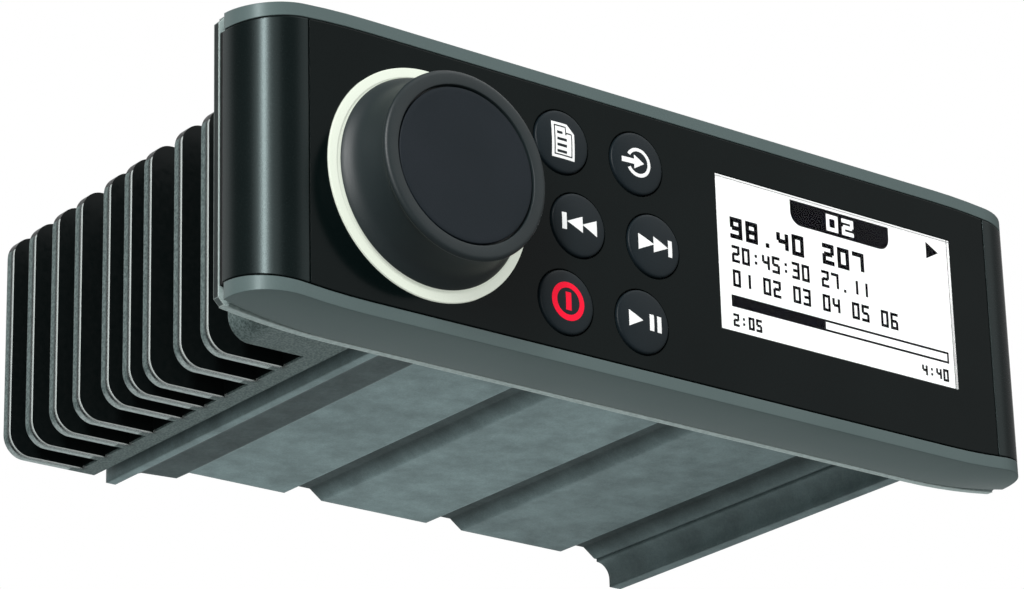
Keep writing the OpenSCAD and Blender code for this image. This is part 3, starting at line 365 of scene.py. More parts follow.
finishes = {
    "face_black": moulded("face_gloss", (0.0016, 0.004, 0.004), (0.003, 0.006, 0.006), 0.1, 0.16,
                          depth=0.0008, Specular_IOR_Level=0.09),
    # The light guide ring glows; the glow is also painted light over the knob's shade on the ring's lower
    # side.
    "ring_pale": moulded("ring_guide", (0.5, 0.55, 0.46), (0.54, 0.58, 0.5), 0.25, 0.4,
                         Emission_Strength=0.38, Emission_Color=(0.93, 1, 0.88, 1)),
    "knob_black": moulded("knob_satin", (0.009, 0.016, 0.018), (0.015, 0.024, 0.026), 0.4, 0.5,
                          depth=0.006, Specular_IOR_Level=0.48),
    "knob_cap_black": moulded("knob_cap_matte", (0.009, 0.014, 0.018), (0.014, 0.019, 0.025), 0.48, 0.6,
                              depth=0.008, Specular_IOR_Level=0.18),
    "button_black": moulded("key_satin", (0.006, 0.011, 0.014), (0.01, 0.017, 0.021), 0.35, 0.48,
                            depth=0.004, Specular_IOR_Level=0.2),
    "black_rubber": moulded("seal_rubber", (0.006, 0.007, 0.007), (0.013, 0.014, 0.014), 0.6, 0.8, depth=0.01,
                            Specular_IOR_Level=0.3),
    "white_plastic": moulded("pale_moulding", (0.62, 0.6, 0.52), (0.72, 0.7, 0.62), 0.4, 0.55),
    "chip_black": moulded("chip_moulding", (0.008, 0.008, 0.009), (0.02, 0.02, 0.021), 0.5, 0.7, depth=0.01),
    "capacitor_blue": moulded("capacitor_sleeve", (0.012, 0.018, 0.06), (0.02, 0.03, 0.09), 0.2, 0.35),
    "coated_aluminium": coated("dark_coat", (0.008, 0.01, 0.01), (0.02, 0.024, 0.024), 0.42),
    "steel": drawn("screw_steel", (0.5, 0.51, 0.52), (0.64, 0.65, 0.66), 0.3,
                   across=2500, along=2500, Metallic=1.0),
    "bare_aluminium": drawn("plain_aluminium", (0.55, 0.56, 0.57), (0.68, 0.69, 0.7), 0.4, Metallic=1.0),
    "brass": drawn("turned_brass", (0.6, 0.42, 0.16), (0.74, 0.54, 0.24), 0.3,
                   across=1500, along=1500, Metallic=1.0),
    "copper_wire": drawn("winding_copper", (0.5, 0.2, 0.07), (0.62, 0.28, 0.11), 0.35,
                         across=1200, along=1200, Metallic=1.0),
    "plated_metal": drawn("plated_nickel", (0.6, 0.61, 0.62), (0.72, 0.73, 0.74), 0.18,
                          across=1500, along=400, Metallic=1.0),
}
end_satin = moulded("end_satin", (0.0016, 0.004, 0.004), (0.003, 0.006, 0.006), 0.24, 0.28, depth=0.001,
                    Specular_IOR_Level=0.35, Specular_Tint=(0.8, 1, 1, 1))
print(len(finishes), "finishes in three families")

# %% [markdown]
# ## The rails
# The rails above and below the face are satin grey. Their long sides are drawn in a little towards the
# wall, so light fades across them. A bow of a third of a millimetre is less than the eye reads as a shape,
# so a Bump gives it: its height is a shallow arch from the front of a rail to its rear.

# %% Rail finish
RAIL_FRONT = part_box("bezel_frame")[0].y
RAIL_DEPTH = 11.9 * MM
BOW_RISE, BOW_FALL = 0.27, 0.22

rail_satin, tree, shader = start_finish("rail_satin", Specular_IOR_Level=0.3, Specular_Tint=(0.85, 1, 1, 1))
grain = place_group(tree, moulded_grain, Scale=4000, Smooth=0.3, Rough=0.4)
edges = place_group(tree, soft_edges, Radius=0.25 * MM)
spot = add_node(tree, "SeparateXYZ", {0: object_place(tree)})
depth = spread(tree, spot.outputs["Y"], RAIL_FRONT, RAIL_FRONT + RAIL_DEPTH, 0, 1)
slope = add_node(tree, "Math", {0: depth, 1: -BOW_FALL, 2: BOW_RISE}, operation="MULTIPLY_ADD")
arch = math_node(tree, "MULTIPLY", depth, slope.outputs[0])
bow = add_node(tree, "Bump", {"Height": arch, "Distance": RAIL_DEPTH, "Strength": 1.0,
                              "Normal": edges.outputs["Normal"]})
tree.links.new(two_tones(tree, grain.outputs["Tone"], (0.084, 0.118, 0.116), (0.096, 0.132, 0.13)),
               shader.inputs["Base Color"])
tree.links.new(grain.outputs["Roughness"], shader.inputs["Roughness"])
raise_bump(tree, shader, grain.outputs["Height"], 0.004, bow.outputs["Normal"])
finishes["bezel_grey"] = rail_satin
print("rails bowed over", RAIL_DEPTH / MM, "mm")

# %% [markdown]
# ## Covers and flange
# The covers are powder coated: a matte grey with fine specks and smudges. Painted shade makes them darker on
# the strip beside the lip, in the grooves and towards the right. The flange between the bezel and the chassis
# is a lighter grey, lighter still along its edges from wear and a painted edge highlight, and dark on its
# left end with painted shade.
# A coat that changes along one axis needs no painted mask: the place of a point, or where it faces, will do.

# %% Cover finish
STRIP = [v * MM for v in (-50.6, -49.8, -38.4, -36.4)]
# Painted shade: how dark the strip beside the lip and the grooves are made.
STRIP_PAINTED_SHADE, GROOVE_PAINTED_SHADE = 0.36, 0.3
LAND_Z, LAND_PLAY, GROOVE_Z = 19.65 * MM, 0.1 * MM, 17.55 * MM
# Painted shade towards the right, from the first place to the second.
RIGHT_SHADE_FROM, RIGHT_SHADE_TO, RIGHT_PAINTED_SHADE = 15 * MM, 66 * MM, 0.64

cover_coat, tree, shader = start_finish("cover_coat", Specular_IOR_Level=0.2, Specular_Tint=(0.85, 1, 1, 1))
specks = place_group(tree, coat_specks, Scale=2600)
edges = place_group(tree, soft_edges, Radius=1.2 * MM)
place = object_place(tree)
smudge = add_node(tree, "TexNoise", {"Vector": place, "Scale": 130, "Detail": 6, "Roughness": 0.65})
spot = add_node(tree, "SeparateXYZ", {0: place})
height = math_node(tree, "ABSOLUTE", spot.outputs["Z"])
begin = spread(tree, spot.outputs["X"], STRIP[0], STRIP[1], 0, 1)
end = spread(tree, spot.outputs["X"], STRIP[2], STRIP[3], 1, 0)
strip = math_node(tree, "MULTIPLY", begin, end)
# The smudge is the coat's own tone; the other three are painted shade: towards the right, in the grooves, on
# the strip.
amounts = [spread(tree, smudge.outputs["Fac"], 0.36, 0.64, 0.8, 1.14),
           spread(tree, spot.outputs["X"], RIGHT_SHADE_FROM, RIGHT_SHADE_TO, 1, RIGHT_PAINTED_SHADE),
           spread(tree, height, LAND_Z - LAND_PLAY, GROOVE_Z, 1, GROOVE_PAINTED_SHADE),
           spread(tree, strip, 0, 1, 1, STRIP_PAINTED_SHADE)]
coat = two_tones(tree, specks.outputs["Speck"], (0.158, 0.222, 0.226), (0.19, 0.262, 0.266))
for amount in amounts:
    coat = add_node(tree, "VectorMath", {0: coat, "Scale": amount}, operation="SCALE").outputs[0]
tree.links.new(coat, shader.inputs["Base Color"])
tree.links.new(spread(tree, specks.outputs["Height"], 0.3, 0.7, 0.45, 0.65), shader.inputs["Roughness"])
raise_bump(tree, shader, specks.outputs["Height"], 0.006, edges.outputs["Normal"])
finishes["cover_grey"] = cover_coat
# The depths between which the grooves get painted shade.
print("painted shade in grooves from", round(LAND_Z / MM, 2), "to", round(GROOVE_Z / MM, 2), "mm")

# %% Flange finish
flange_coat, tree, shader = start_finish("flange_coat", Specular_IOR_Level=0.2)
specks = place_group(tree, coat_specks, Scale=1200)
edges = place_group(tree, soft_edges, Radius=0.35 * MM)
facing = add_node(tree, "SeparateXYZ", {0: add_node(tree, "NewGeometry").outputs["Normal"]})
shaded = spread(tree, facing.outputs["X"], -0.4, -0.8, 0, 1)
grey = two_tones(tree, specks.outputs["Speck"], (0.25, 0.32, 0.31), (0.34, 0.42, 0.41))
# Painted shade: the side that faces left is made near black.
grey = blend_tones(tree, shaded, grey, (0.012, 0.018, 0.018, 1))
# Lighter edges, partly wear and partly a painted edge highlight.
worn_and_highlit_edges = blend_tones(tree, edges.outputs["Edge"], grey, (0.44, 0.52, 0.5, 1))
tree.links.new(worn_and_highlit_edges, shader.inputs["Base Color"])
tree.links.new(spread(tree, specks.outputs["Height"], 0.3, 0.7, 0.4, 0.6), shader.inputs["Roughness"])
raise_bump(tree, shader, specks.outputs["Height"], 0.008, edges.outputs["Normal"])
finishes["flange_grey"] = flange_coat
print("flange finish", flange_coat.name)

# %% [markdown]
# ## Fin coating
# The fins are coated black between them, but their outer edges are lighter and speckled, where they were
# cut and handled. A thin painted highlight runs along the front of each, with a band of painted shade just
# behind it. The masks need no painting: an outer edge is a surface at the outside of the heat sink that faces
# neither along Y nor up, and the wide Bevel leans its normal forward near the front of a fin, which places
# the painted shade and the painted highlight. The fins' lower ends, which face down, are lighter still with
# painted light, unlike the block in front of the fins.

# %% Fin finish
FIN_REACH = 63.5 * MM
FIN_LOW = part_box("heat_sink")[0].z + 0.4 * MM
LINE_REACH = 2.4 * MM
BLOCK_REAR = 19.5 * MM

fin_coat, tree, shader = start_finish("fin_coat", Specular_IOR_Level=0.15)
specks = place_group(tree, coat_specks, Scale=2200)
edges = place_group(tree, soft_edges, Radius=0.2 * MM)
facing = add_node(tree, "SeparateXYZ", {0: add_node(tree, "NewGeometry").outputs["Normal"]})
spot = add_node(tree, "SeparateXYZ", {0: object_place(tree)})
wide_edge = add_node(tree, "Bevel", {"Radius": LINE_REACH}, samples=8)
lean = add_node(tree, "SeparateXYZ", {0: wide_edge.outputs[0]})
along = math_node(tree, "ABSOLUTE", facing.outputs["Y"])
edge_side = math_node(tree, "LESS_THAN", along, 0.6)
not_top = math_node(tree, "LESS_THAN", facing.outputs["Z"], 0.3)
outside = math_node(tree, "LESS_THAN", spot.outputs["X"], -FIN_REACH)
below = math_node(tree, "LESS_THAN", spot.outputs["Z"], FIN_LOW)
cut = math_node(tree, "MULTIPLY", edge_side, math_node(tree, "MAXIMUM", outside, below))
cut = math_node(tree, "MULTIPLY", cut, not_top)
black = two_tones(tree, specks.outputs["Height"], (0.002, 0.004, 0.004), (0.006, 0.008, 0.008))
grey = two_tones(tree, specks.outputs["Speck"], (0.045, 0.07, 0.068), (0.13, 0.175, 0.17))
# Painted light: a lighter grey for the down-facing lower ends of the fins.
painted_light_ends = two_tones(tree, specks.outputs["Speck"], (0.27, 0.335, 0.33), (0.44, 0.52, 0.51))
under_side = spread(tree, facing.outputs["Z"], -0.4, -0.8, 0, 1)
past_block = math_node(tree, "GREATER_THAN", spot.outputs["Y"], BLOCK_REAR)
fin_end = math_node(tree, "MULTIPLY", outside, past_block)
grey = blend_tones(tree, math_node(tree, "MULTIPLY", under_side, fin_end), grey, painted_light_ends)
# Painted shade and painted highlight: a dark band near the front of each outer fin edge, and a bright line at
# the very front.
shade = spread(tree, lean.outputs["Y"], -0.02, -0.06, 0, 1)
painted_highlight_line = spread(tree, lean.outputs["Y"], -0.42, -0.5, 0, 1)
lined_with_painted_light = blend_tones(tree, shade, grey, (0.01, 0.014, 0.014, 1))
lined_with_painted_light = blend_tones(tree, painted_highlight_line, lined_with_painted_light, (0.6, 0.66, 0.64, 1))
tree.links.new(blend_tones(tree, cut, black, lined_with_painted_light), shader.inputs["Base Color"])
tree.links.new(spread(tree, specks.outputs["Height"], 0.3, 0.7, 0.28, 0.5), shader.inputs["Roughness"])
raise_bump(tree, shader, specks.outputs["Height"], 0.008, edges.outputs["Normal"])
print("fin edges below", round(FIN_LOW / MM, 2), "mm are bare")

# %% [markdown]
# ## Circuit boards
# A board is green lacquer over copper tracks. A brick pattern with thin mortar gives rows of tracks, and
# where they run the lacquer looks lighter. Nobody sees it until the covers come off, so it stays simple.

# %% Board finish
board_green, tree, shader = start_finish("board_lacquer", Specular_IOR_Level=0.5)
tracks = add_node(tree, "TexBrick", {"Vector": object_place(tree), "Scale": 160, "Mortar Size": 0.06,
                                     "Color1": (0.008, 0.075, 0.03, 1), "Color2": (0.01, 0.09, 0.036, 1),
                                     "Mortar": (0.03, 0.19, 0.08, 1)})
tree.links.new(tracks.outputs["Color"], shader.inputs["Base Color"])
tree.links.new(spread(tree, tracks.outputs["Fac"], 0, 1, 0.35, 0.22), shader.inputs["Roughness"])
raise_bump(tree, shader, tracks.outputs["Fac"], 0.03)
finishes["circuit_board"] = board_green
print("board finish", board_green.name)

# %% [markdown]
# ## Display finishes
# The window is clear acrylic with a coat against glare: full transmission, hardly any roughness, and a black
# tint on what it mirrors. Behind it the display glows a little by itself, with a faint grid between its
# dots, so it stays white in the shade of the front.

# %% Window, display and ink
DOT = 0.5 * MM


def dot_grid(tree, gap):
    parts = add_node(tree, "SeparateXYZ", {0: object_place(tree)})
    lines = []
    for axis in ("X", "Z"):
        share = math_node(tree, "FRACT", math_node(tree, "DIVIDE", parts.outputs[axis], DOT))
        lines.append(math_node(tree, "LESS_THAN", share, gap))
    return math_node(tree, "MAXIMUM", *lines)


clear_window, tree, shader = start_finish("clear_acrylic", Transmission_Weight=1.0, IOR=1.2,
                                          Specular_Tint=(0, 0, 0, 1))
smear = place_group(tree, moulded_grain, Scale=300, Smooth=0.0, Rough=0.03)
tree.links.new(two_tones(tree, smear.outputs["Tone"], (0.97, 0.99, 0.98), (1, 1, 1)),
               shader.inputs["Base Color"])
tree.links.new(smear.outputs["Roughness"], shader.inputs["Roughness"])
finishes["clear_window"] = clear_window

display_white, tree, shader = start_finish("display_white", Emission_Strength=0.8, Roughness=0.6,
                                           Specular_IOR_Level=0.2)
grid = dot_grid(tree, 0.1)
lit = two_tones(tree, grid, (1, 1, 1), (0.9, 0.92, 0.92))
tree.links.new(lit, shader.inputs["Emission Color"])
tree.links.new(two_tones(tree, grid, (0.4, 0.4, 0.4), (0.3, 0.31, 0.31)), shader.inputs["Base Color"])
finishes["display_white"] = display_white

display_ink, tree, shader = start_finish("display_ink", Roughness=0.7, Specular_IOR_Level=0.0)
grid = dot_grid(tree, 0.12)
tree.links.new(two_tones(tree, grid, (0.0005, 0.0005, 0.002), (0.003, 0.003, 0.005)),
               shader.inputs["Base Color"])
print("display dots of", DOT / MM, "mm")

# %% [markdown]
# ## Dressing the CAD nodes
# Each CAD node keeps its mesh and its place, and only its material slots are filled. The record says which
# slot each node belongs to, so the finish follows from that. Two pieces differ from others in their slot:
# the fins, and the end caps, which are less glossy than the face.

# %% Give every node its finish
def dress(thing, finish):
    thing.data.materials.clear()
    thing.data.materials.append(finish)


for part in frame["record"]["subparts"]:
    dress(nodes[part["node"]], finishes[part["material_slot"]])
dress(nodes["heat_sink"], fin_coat)
for name in ("left_end_cap", "right_end_cap"):
    dress(nodes[name], end_satin)
print("dressed", len(nodes), "nodes")

# %% [markdown]
# ## Modelling helpers
# New pieces are modelled as by hand: a primitive, then edit-mode operators. Operators act on whatever is
# selected, so each helper clears the selection first. Round pieces are made lying on the XY plane with
# their front towards +Z, which keeps the numbers plain, and are stood up on the face at the end.

# %% Start, select and place
FACE_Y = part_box("front_panel")[0].y
SHARP = math.radians(35)


def clear_selection():
    bpy.ops.object.select_all(action="DESELECT")


def take(piece):
    clear_selection()
    piece.select_set(True)
    bpy.context.view_layer.objects.active = piece


def select_where(test, kind="faces"):
    bpy.ops.mesh.select_mode(type={"verts": "VERT", "faces": "FACE"}[kind])
    mesh = bmesh.from_edit_mesh(bpy.context.object.data)
    chosen = [item for item in getattr(mesh, kind) if test(item)]
    bpy.ops.mesh.select_all(action="DESELECT")
    for item in chosen:
        item.select_set(True)
    mesh.select_flush_mode()
    bmesh.update_edit_mesh(bpy.context.object.data)


def face_outwards(piece):
    take(piece)
    bpy.ops.object.mode_set(mode="EDIT")
    bpy.ops.mesh.select_all(action="SELECT")
    bpy.ops.mesh.normals_make_consistent(inside=False)
    bpy.ops.object.mode_set(mode="OBJECT")
    bpy.ops.object.shade_smooth_by_angle(angle=SHARP)


def stand_on_face(piece, x, z, y=FACE_Y, forward=True):
    take(piece)
    piece.rotation_euler = (math.pi / 2 if forward else -math.pi / 2, 0, 0)
    piece.location = (x, y, z)
    bpy.ops.object.transform_apply(location=True, rotation=True, scale=True)


def apply_modifier(piece, kind, **settings):
    take(piece)
    made = piece.modifiers.new(kind.lower(), kind)
    for key, value in settings.items():
        setattr(made, key, value)
    bpy.ops.object.modifier_apply(modifier=made.name)


print("face of the panel at", round(FACE_Y / MM, 2), "mm")

# %% [markdown]
# ## Turning on a lathe
# A knob, a cap and a key are all turned shapes. A Spin of a drawn profile would do, but it leaves doubled
# points at the axis. Here a filled circle is extruded from one station to the next and scaled to its
# radius: the shell is closed from the start, and each station is simply a radius and a height in mm.

# %% Turned pieces
def turned(name, stations, sides=144):
    clear_selection()
    radius, height = stations[0]
    bpy.ops.mesh.primitive_circle_add(vertices=sides, radius=radius * MM, fill_type="NGON",
                                      location=(0, 0, height * MM))
    piece = bpy.context.object
    piece.name = name
    bpy.ops.object.mode_set(mode="EDIT")
    bpy.ops.mesh.select_mode(type="FACE")
    bpy.ops.mesh.select_all(action="SELECT")
    for next_radius, next_height in stations[1:]:
        step = {"value": (0, 0, (next_height - height) * MM)}
        bpy.ops.mesh.extrude_region_move(TRANSFORM_OT_translate=step)
        share = next_radius / radius
        bpy.ops.transform.resize(value=(share, share, 1), center_override=(0, 0, 0))
        radius, height = next_radius, next_height
    bpy.ops.object.mode_set(mode="OBJECT")
    bpy.ops.object.transform_apply(location=True)
    face_outwards(piece)
    return piece


print("lathe ready")

# %% [markdown]
# ## The volume knob
# The knob flares out to a skirt at the face and ends in a soft bead at its front, where a flat seat takes
# the cap. It is moulded hollow, with a hub for the shaft, so the profile starts inside the hub, runs down
# and up under the roof, and comes back over the skirt, waist and bead to the floor of the seat.

# %% Turn the knob and its cap
KNOB = (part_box("volume_knob")[0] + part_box("volume_knob")[1]) / 2
HUB = [(3.1, 8.4), (3.1, 3.6), (4.5, 3.6), (4.5, 8.4), (14.8, 8.4), (14.8, 0.75)]
SKIRT = [(19.8, 0.75), (20.02, 0.78), (20.1, 0.88), (20.05, 1.0), (19.6, 1.46), (19.15, 1.94),
         (18.75, 2.42), (18.4, 2.95), (18.1, 3.6), (17.8, 4.5), (17.55, 5.5), (17.3, 6.7), (17.15, 7.8),
         (17.06, 9.0), (17.05, 9.6)]
BEAD = [(17.2, 9.85), (17.55, 10.05), (17.8, 10.3), (17.9, 10.6), (17.86, 10.9), (17.7, 11.15), (17.4, 11.33),
        (17.0, 11.4), (15.3, 11.4), (15.15, 11.36), (15.1, 11.25), (15.1, 10.2)]
CAP = [(14.4, 10.2), (14.7, 10.3), (14.7, 11.05), (14.65, 11.16), (14.54, 11.2), (13.8, 11.2)]

knob = turned("knob_shell", HUB + SKIRT + BEAD)
cap = turned("knob_front_disc", CAP)
for piece, node, finish in ((knob, "volume_knob", "knob_black"), (cap, "knob_cap", "knob_cap_black")):
    stand_on_face(piece, KNOB.x, KNOB.z)
    dress(piece, finishes[finish])
    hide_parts(node)
    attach(piece, "knob")
    print(piece.name, len(piece.data.polygons), "faces")

# %% [markdown]
# ## The six keys
# A key is a low dome on a straight wall, with a flange behind the panel that stops it from falling out.
# The six are alike, so one is turned, and each of the others is a copy with its own mesh.

# %% Turn one key and copy it
KEYS = ["menu", "source", "back", "forward", "power", "play"]
DOME_R, KEY_TOP = 38.69, 0.9


def dome(radius):
    return radius, KEY_TOP - DOME_R + math.sqrt(DOME_R ** 2 - radius ** 2)


KEY_WALL = [(7.4, -2.8), (7.4, -2.0), (6.2, -2.0), (6.2, 0.1), (6.17, 0.23), (6.1, 0.33), (5.98, 0.41)]
first_key = turned("key_blank", KEY_WALL + [dome(r) for r in (5.7, 5.0, 4.2, 3.4, 2.6, 1.8, 1.0, 0.4, 0.05)],
                   sides=96)


def copy_piece(piece, name):
    made = piece.copy()
    made.data = piece.data.copy()
    made.name = name
    bpy.context.collection.objects.link(made)
    return made


keys = {name: copy_piece(first_key, name + "_key") for name in KEYS}
print("keys:", list(keys))

# %% [markdown]
# ## Printed symbols
# The symbols are printed on the domes. Each is drawn flat from bars, triangles and rings, cut into small
# faces, laid on its dome by a Shrinkwrap that looks straight down, and given the thickness of thick ink.

# %% Flat shapes
def start_flat(name):
    clear_selection()
    bpy.ops.object.add(type="MESH")
    bpy.context.object.name = name
    bpy.ops.object.mode_set(mode="EDIT")
    return bpy.context.object


def add_bar(x, y, w, h):
    bpy.ops.mesh.primitive_plane_add(size=MM, location=(x * MM, y * MM, 0))
    bpy.ops.transform.resize(value=(w, h, 1), center_override=(x * MM, y * MM, 0))


def add_arrowhead(tip, y, w, h):
    centre = ((tip - w * 2 / 3) * MM, y * MM, 0)
    bpy.ops.mesh.primitive_circle_add(vertices=3, radius=MM, fill_type="NGON", location=centre,
                                      rotation=(0, 0, -math.pi / 2))
    bpy.ops.transform.resize(value=(w / 1.5, h / math.sqrt(3), 1), center_override=centre)


def add_ring(inner, outer, opening=0):
    bpy.ops.mesh.primitive_circle_add(vertices=72, radius=inner * MM, fill_type="NOTHING")
    bpy.ops.mesh.extrude_region_move()
    bpy.ops.transform.resize(value=(outer / inner, outer / inner, 1), center_override=(0, 0, 0))

    def in_opening(face):
        spot = face.calc_center_median()
        return spot.x < 0 and abs(spot.y) < opening / 2 * MM

    if opening:
        select_where(in_opening)
        bpy.ops.mesh.delete(type="FACE")
    bpy.ops.mesh.select_mode(type="VERT")


def end_flat():
    bpy.ops.mesh.select_all(action="SELECT")
    bpy.ops.mesh.quads_convert_to_tris()
    bpy.ops.mesh.normals_make_consistent(inside=False)
    bpy.ops.object.mode_set(mode="OBJECT")


print("flat shapes ready")

# %% Draw the symbols
PAGE_W, PAGE_H, FOLD, STROKE = 5.3, 7.1, 1.7, 0.53
PAGE_BARS = [(-1.65, -0.01, 0.39, 5.48), (1.33, -0.6, 1.05, 4.3), (-0.5, 2.28, 1.9, 0.9),
             (0.15, 1.55, 0.59, 0.56), (-0.33, 0.9, 2.26, 0.74), (-0.33, -0.35, 2.26, 0.64),
             (-0.33, -1.58, 2.26, 0.7), (-0.33, -2.61, 2.26, 0.28)]
FLAP_BARS = [(1.0, 2.4, 0.56, 1.14), (1.55, 2.05, 0.6, 0.44)]


def menu_symbol():
    add_bar(0, 0, PAGE_W, PAGE_H)
    select_where(lambda v: v.co.x > 0 and v.co.y > 0, "verts")
    bpy.ops.mesh.bevel(offset=FOLD * MM, segments=1, affect="VERTICES")
    select_where(lambda f: True)
    bpy.ops.mesh.inset(thickness=STROKE * MM)
    bpy.ops.mesh.delete(type="FACE")
    bpy.ops.mesh.select_mode(type="VERT")
    for bar in PAGE_BARS + FLAP_BARS:
        add_bar(*bar)


def source_symbol():
    add_ring(2.25, 2.95, opening=2.6)
    add_bar(-2.3, 0, 3.2, 1.05)
    add_arrowhead(1.35, 0, 2.4, 2.8)


def skip_symbol():
    add_bar(3.65, 0, 1.0, 3.3)
    add_arrowhead(3.1, 0, 3.6, 3.2)
    add_arrowhead(-0.4, 0, 3.6, 3.2)


def power_symbol():
    add_ring(2.62, 3.75)
    add_bar(0, 0, 1.25, 3.5)


def play_symbol():
    add_arrowhead(-0.4, 0, 3.2, 3.2)
    add_bar(1.75, 0, 1.05, 3.2)
    add_bar(3.65, 0, 1.05, 3.2)


symbols = {}
for name, draw in (("menu", menu_symbol), ("source", source_symbol), ("back", skip_symbol),
                   ("forward", skip_symbol), ("power", power_symbol), ("play", play_symbol)):
    symbols[name] = start_flat(name + "_symbol")
    draw()
    if name == "back":
        bpy.ops.mesh.select_all(action="SELECT")
        bpy.ops.transform.rotate(value=math.pi, orient_axis="Z", center_override=(0, 0, 0))
    end_flat()
    print(name, "symbol of", len(symbols[name].data.polygons), "faces")

# %% Inks
INK_LIFT, INK_T, INK_START = 0.04, 0.08, 3

white_ink = moulded("symbol_white", (0.72, 0.74, 0.73), (0.84, 0.86, 0.85), 0.4, 0.6, edge=0.05,
                    Emission_Strength=0.25, Emission_Color=(1, 1, 1, 1))
red_ink = moulded("symbol_red", (0.72, 0.006, 0.025), (0.85, 0.01, 0.04), 0.4, 0.6, edge=0.05,
                  Specular_IOR_Level=0.1, Emission_Strength=0.3, Emission_Color=(1, 0.012, 0.05, 1))

for name in KEYS:
    symbol, key_piece = symbols[name], keys[name]
    take(symbol)
    bpy.ops.object.mode_set(mode="EDIT")
    bpy.ops.mesh.select_all(action="SELECT")
    bpy.ops.mesh.subdivide(number_cuts=3)
    bpy.ops.transform.translate(value=(0, 0, INK_START * MM))
    bpy.ops.object.mode_set(mode="OBJECT")
    apply_modifier(symbol, "SHRINKWRAP", target=key_piece, wrap_method="PROJECT", use_project_z=True,
                   use_negative_direction=True, use_positive_direction=False, offset=INK_LIFT * MM)
    apply_modifier(symbol, "SOLIDIFY", thickness=INK_T * MM, offset=-1)
    middle = (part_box(name + "_button")[0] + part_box(name + "_button")[1]) / 2
    for piece in (key_piece, symbol):
        stand_on_face(piece, middle.x, middle.z)
        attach(piece, name)
    dress(key_piece, finishes["button_black"])
    dress(symbol, red_ink if name == "power" else white_ink)
    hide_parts(name + "_button")
bpy.data.objects.remove(first_key)
print("printed", len(symbols), "symbols")

# %% [markdown]
# ## The inner lip of the light guide
# The pale ring around the knob goes on under the skirt as a thin lip on the face, and with the ring's glow,
# which is partly painted light, it keeps the shade under the skirt from showing as a dark gap.
# It is the same flat ring that the symbols use, given a thickness by the Solidify modifier.

# %% Ring lip
LIP_IN, LIP_OUT, LIP_T, LIP_SINK = 18.4, 20.5, 0.12, 0.02

lip = start_flat("ring_lip")
add_ring(LIP_IN, LIP_OUT)
end_flat()
stand_on_face(lip, KNOB.x, KNOB.z, FACE_Y + LIP_SINK * MM)
apply_modifier(lip, "SOLIDIFY", thickness=LIP_T * MM, offset=1)
dress(lip, finishes["ring_pale"])
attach(lip, "chassis")
print(lip.name, "stands proud by", LIP_T - LIP_SINK, "mm")

# %% [markdown]
# ## The window and the display behind it
# The window is a pane of a millimetre, flush with the face, and the lit front of the display module reaches
# up to a hair behind it, so that the figures stay in place when the viewer moves: a thick pane would shift
# them and mirror them in its edges. Both start as cubes. The pane gets broken edges from a bevel, and the
# front of the module is inset, fitted to the window and extruded towards it. The display's dots are too small
# to model one by one, so the figures are bars, and a fine grid in their ink shows the dots.

# %% Window pane
PANE_T, PANE_EDGE = 1.0 * MM, 0.12 * MM
VIEW_W, VIEW_H = 61.5, 31.6
glass_low, glass_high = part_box("display_window")
VIEW_X, VIEW_Z = (glass_low.x + glass_high.x) / 2, (glass_low.z + glass_high.z) / 2
PANE_REAR = glass_low.y + PANE_T

clear_selection()
bpy.ops.mesh.primitive_cube_add(size=1)
pane = bpy.context.object
pane.name = "window_pane"
pane.scale = (VIEW_W * MM, PANE_T, VIEW_H * MM)
pane.location = (VIEW_X, glass_low.y + PANE_T / 2, VIEW_Z)
bpy.ops.object.transform_apply(location=True, rotation=True, scale=True)
bpy.ops.object.mode_set(mode="EDIT")
select_where(lambda f: f.normal.y < -0.9)
bpy.ops.mesh.bevel(offset=PANE_EDGE, segments=2, affect="EDGES")
bpy.ops.object.mode_set(mode="OBJECT")
dress(pane, clear_window)
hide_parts("display_window")
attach(pane, "chassis")
print("pane from", round(glass_low.y / MM, 2), "to", round(PANE_REAR / MM, 2), "mm")

# %% Display panel
HAIR, LIT_GAP, FRAME_W = 0.08 * MM, 0.05 * MM, 0.6 * MM
module_low, module_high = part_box("lcd_module")
size, middle = module_high - module_low, (module_low + module_high) / 2

clear_selection()
bpy.ops.mesh.primitive_cube_add(size=1)
panel = bpy.context.object
panel.name = "display_panel"
panel.scale, panel.location = size, middle
bpy.ops.object.transform_apply(location=True, rotation=True, scale=True)
bpy.ops.object.mode_set(mode="EDIT")
select_where(lambda f: f.normal.y < -0.9)
bpy.ops.mesh.inset(thickness=FRAME_W)
fit_x = (VIEW_W * MM - 2 * LIT_GAP) / (size.x - 2 * FRAME_W)
fit_z = (VIEW_H * MM - 2 * LIT_GAP) / (size.z - 2 * FRAME_W)
bpy.ops.transform.resize(value=(fit_x, 1, fit_z), center_override=middle)
bpy.ops.transform.translate(value=(VIEW_X - middle.x, 0, VIEW_Z - middle.z))
rise = {"value": (0, PANE_REAR + HAIR - module_low.y, 0)}
bpy.ops.mesh.extrude_region_move(TRANSFORM_OT_translate=rise)
bpy.ops.object.mode_set(mode="OBJECT")
dress(panel, display_white)
panel.data.materials.append(finishes["plated_metal"])
for face in panel.data.polygons:
    face.material_index = 0 if face.center.y < PANE_REAR + 2 * HAIR else 1
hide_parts("lcd_module")
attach(panel, "chassis")
print("display front at", round((PANE_REAR + HAIR) / MM, 2), "mm")
print("scaled by", round(fit_x, 3), round(fit_z, 3))

# %% [markdown]
# ## Figures on the display
# The figures are plain numerals: a station, the time and date, six presets, and how far a track has run.
# Each numeral is drawn from the seven bars of a simple display, as the cheapest dot displays also draw them.

# %% Numerals from seven bars
BARS = {"0": "abcdef", "1": "bc", "2": "abged", "3": "abgcd", "4": "fgbc",
        "5": "afgcd", "6": "afgedc", "7": "abc", "8": "abcdefg", "9": "abfgcd"}


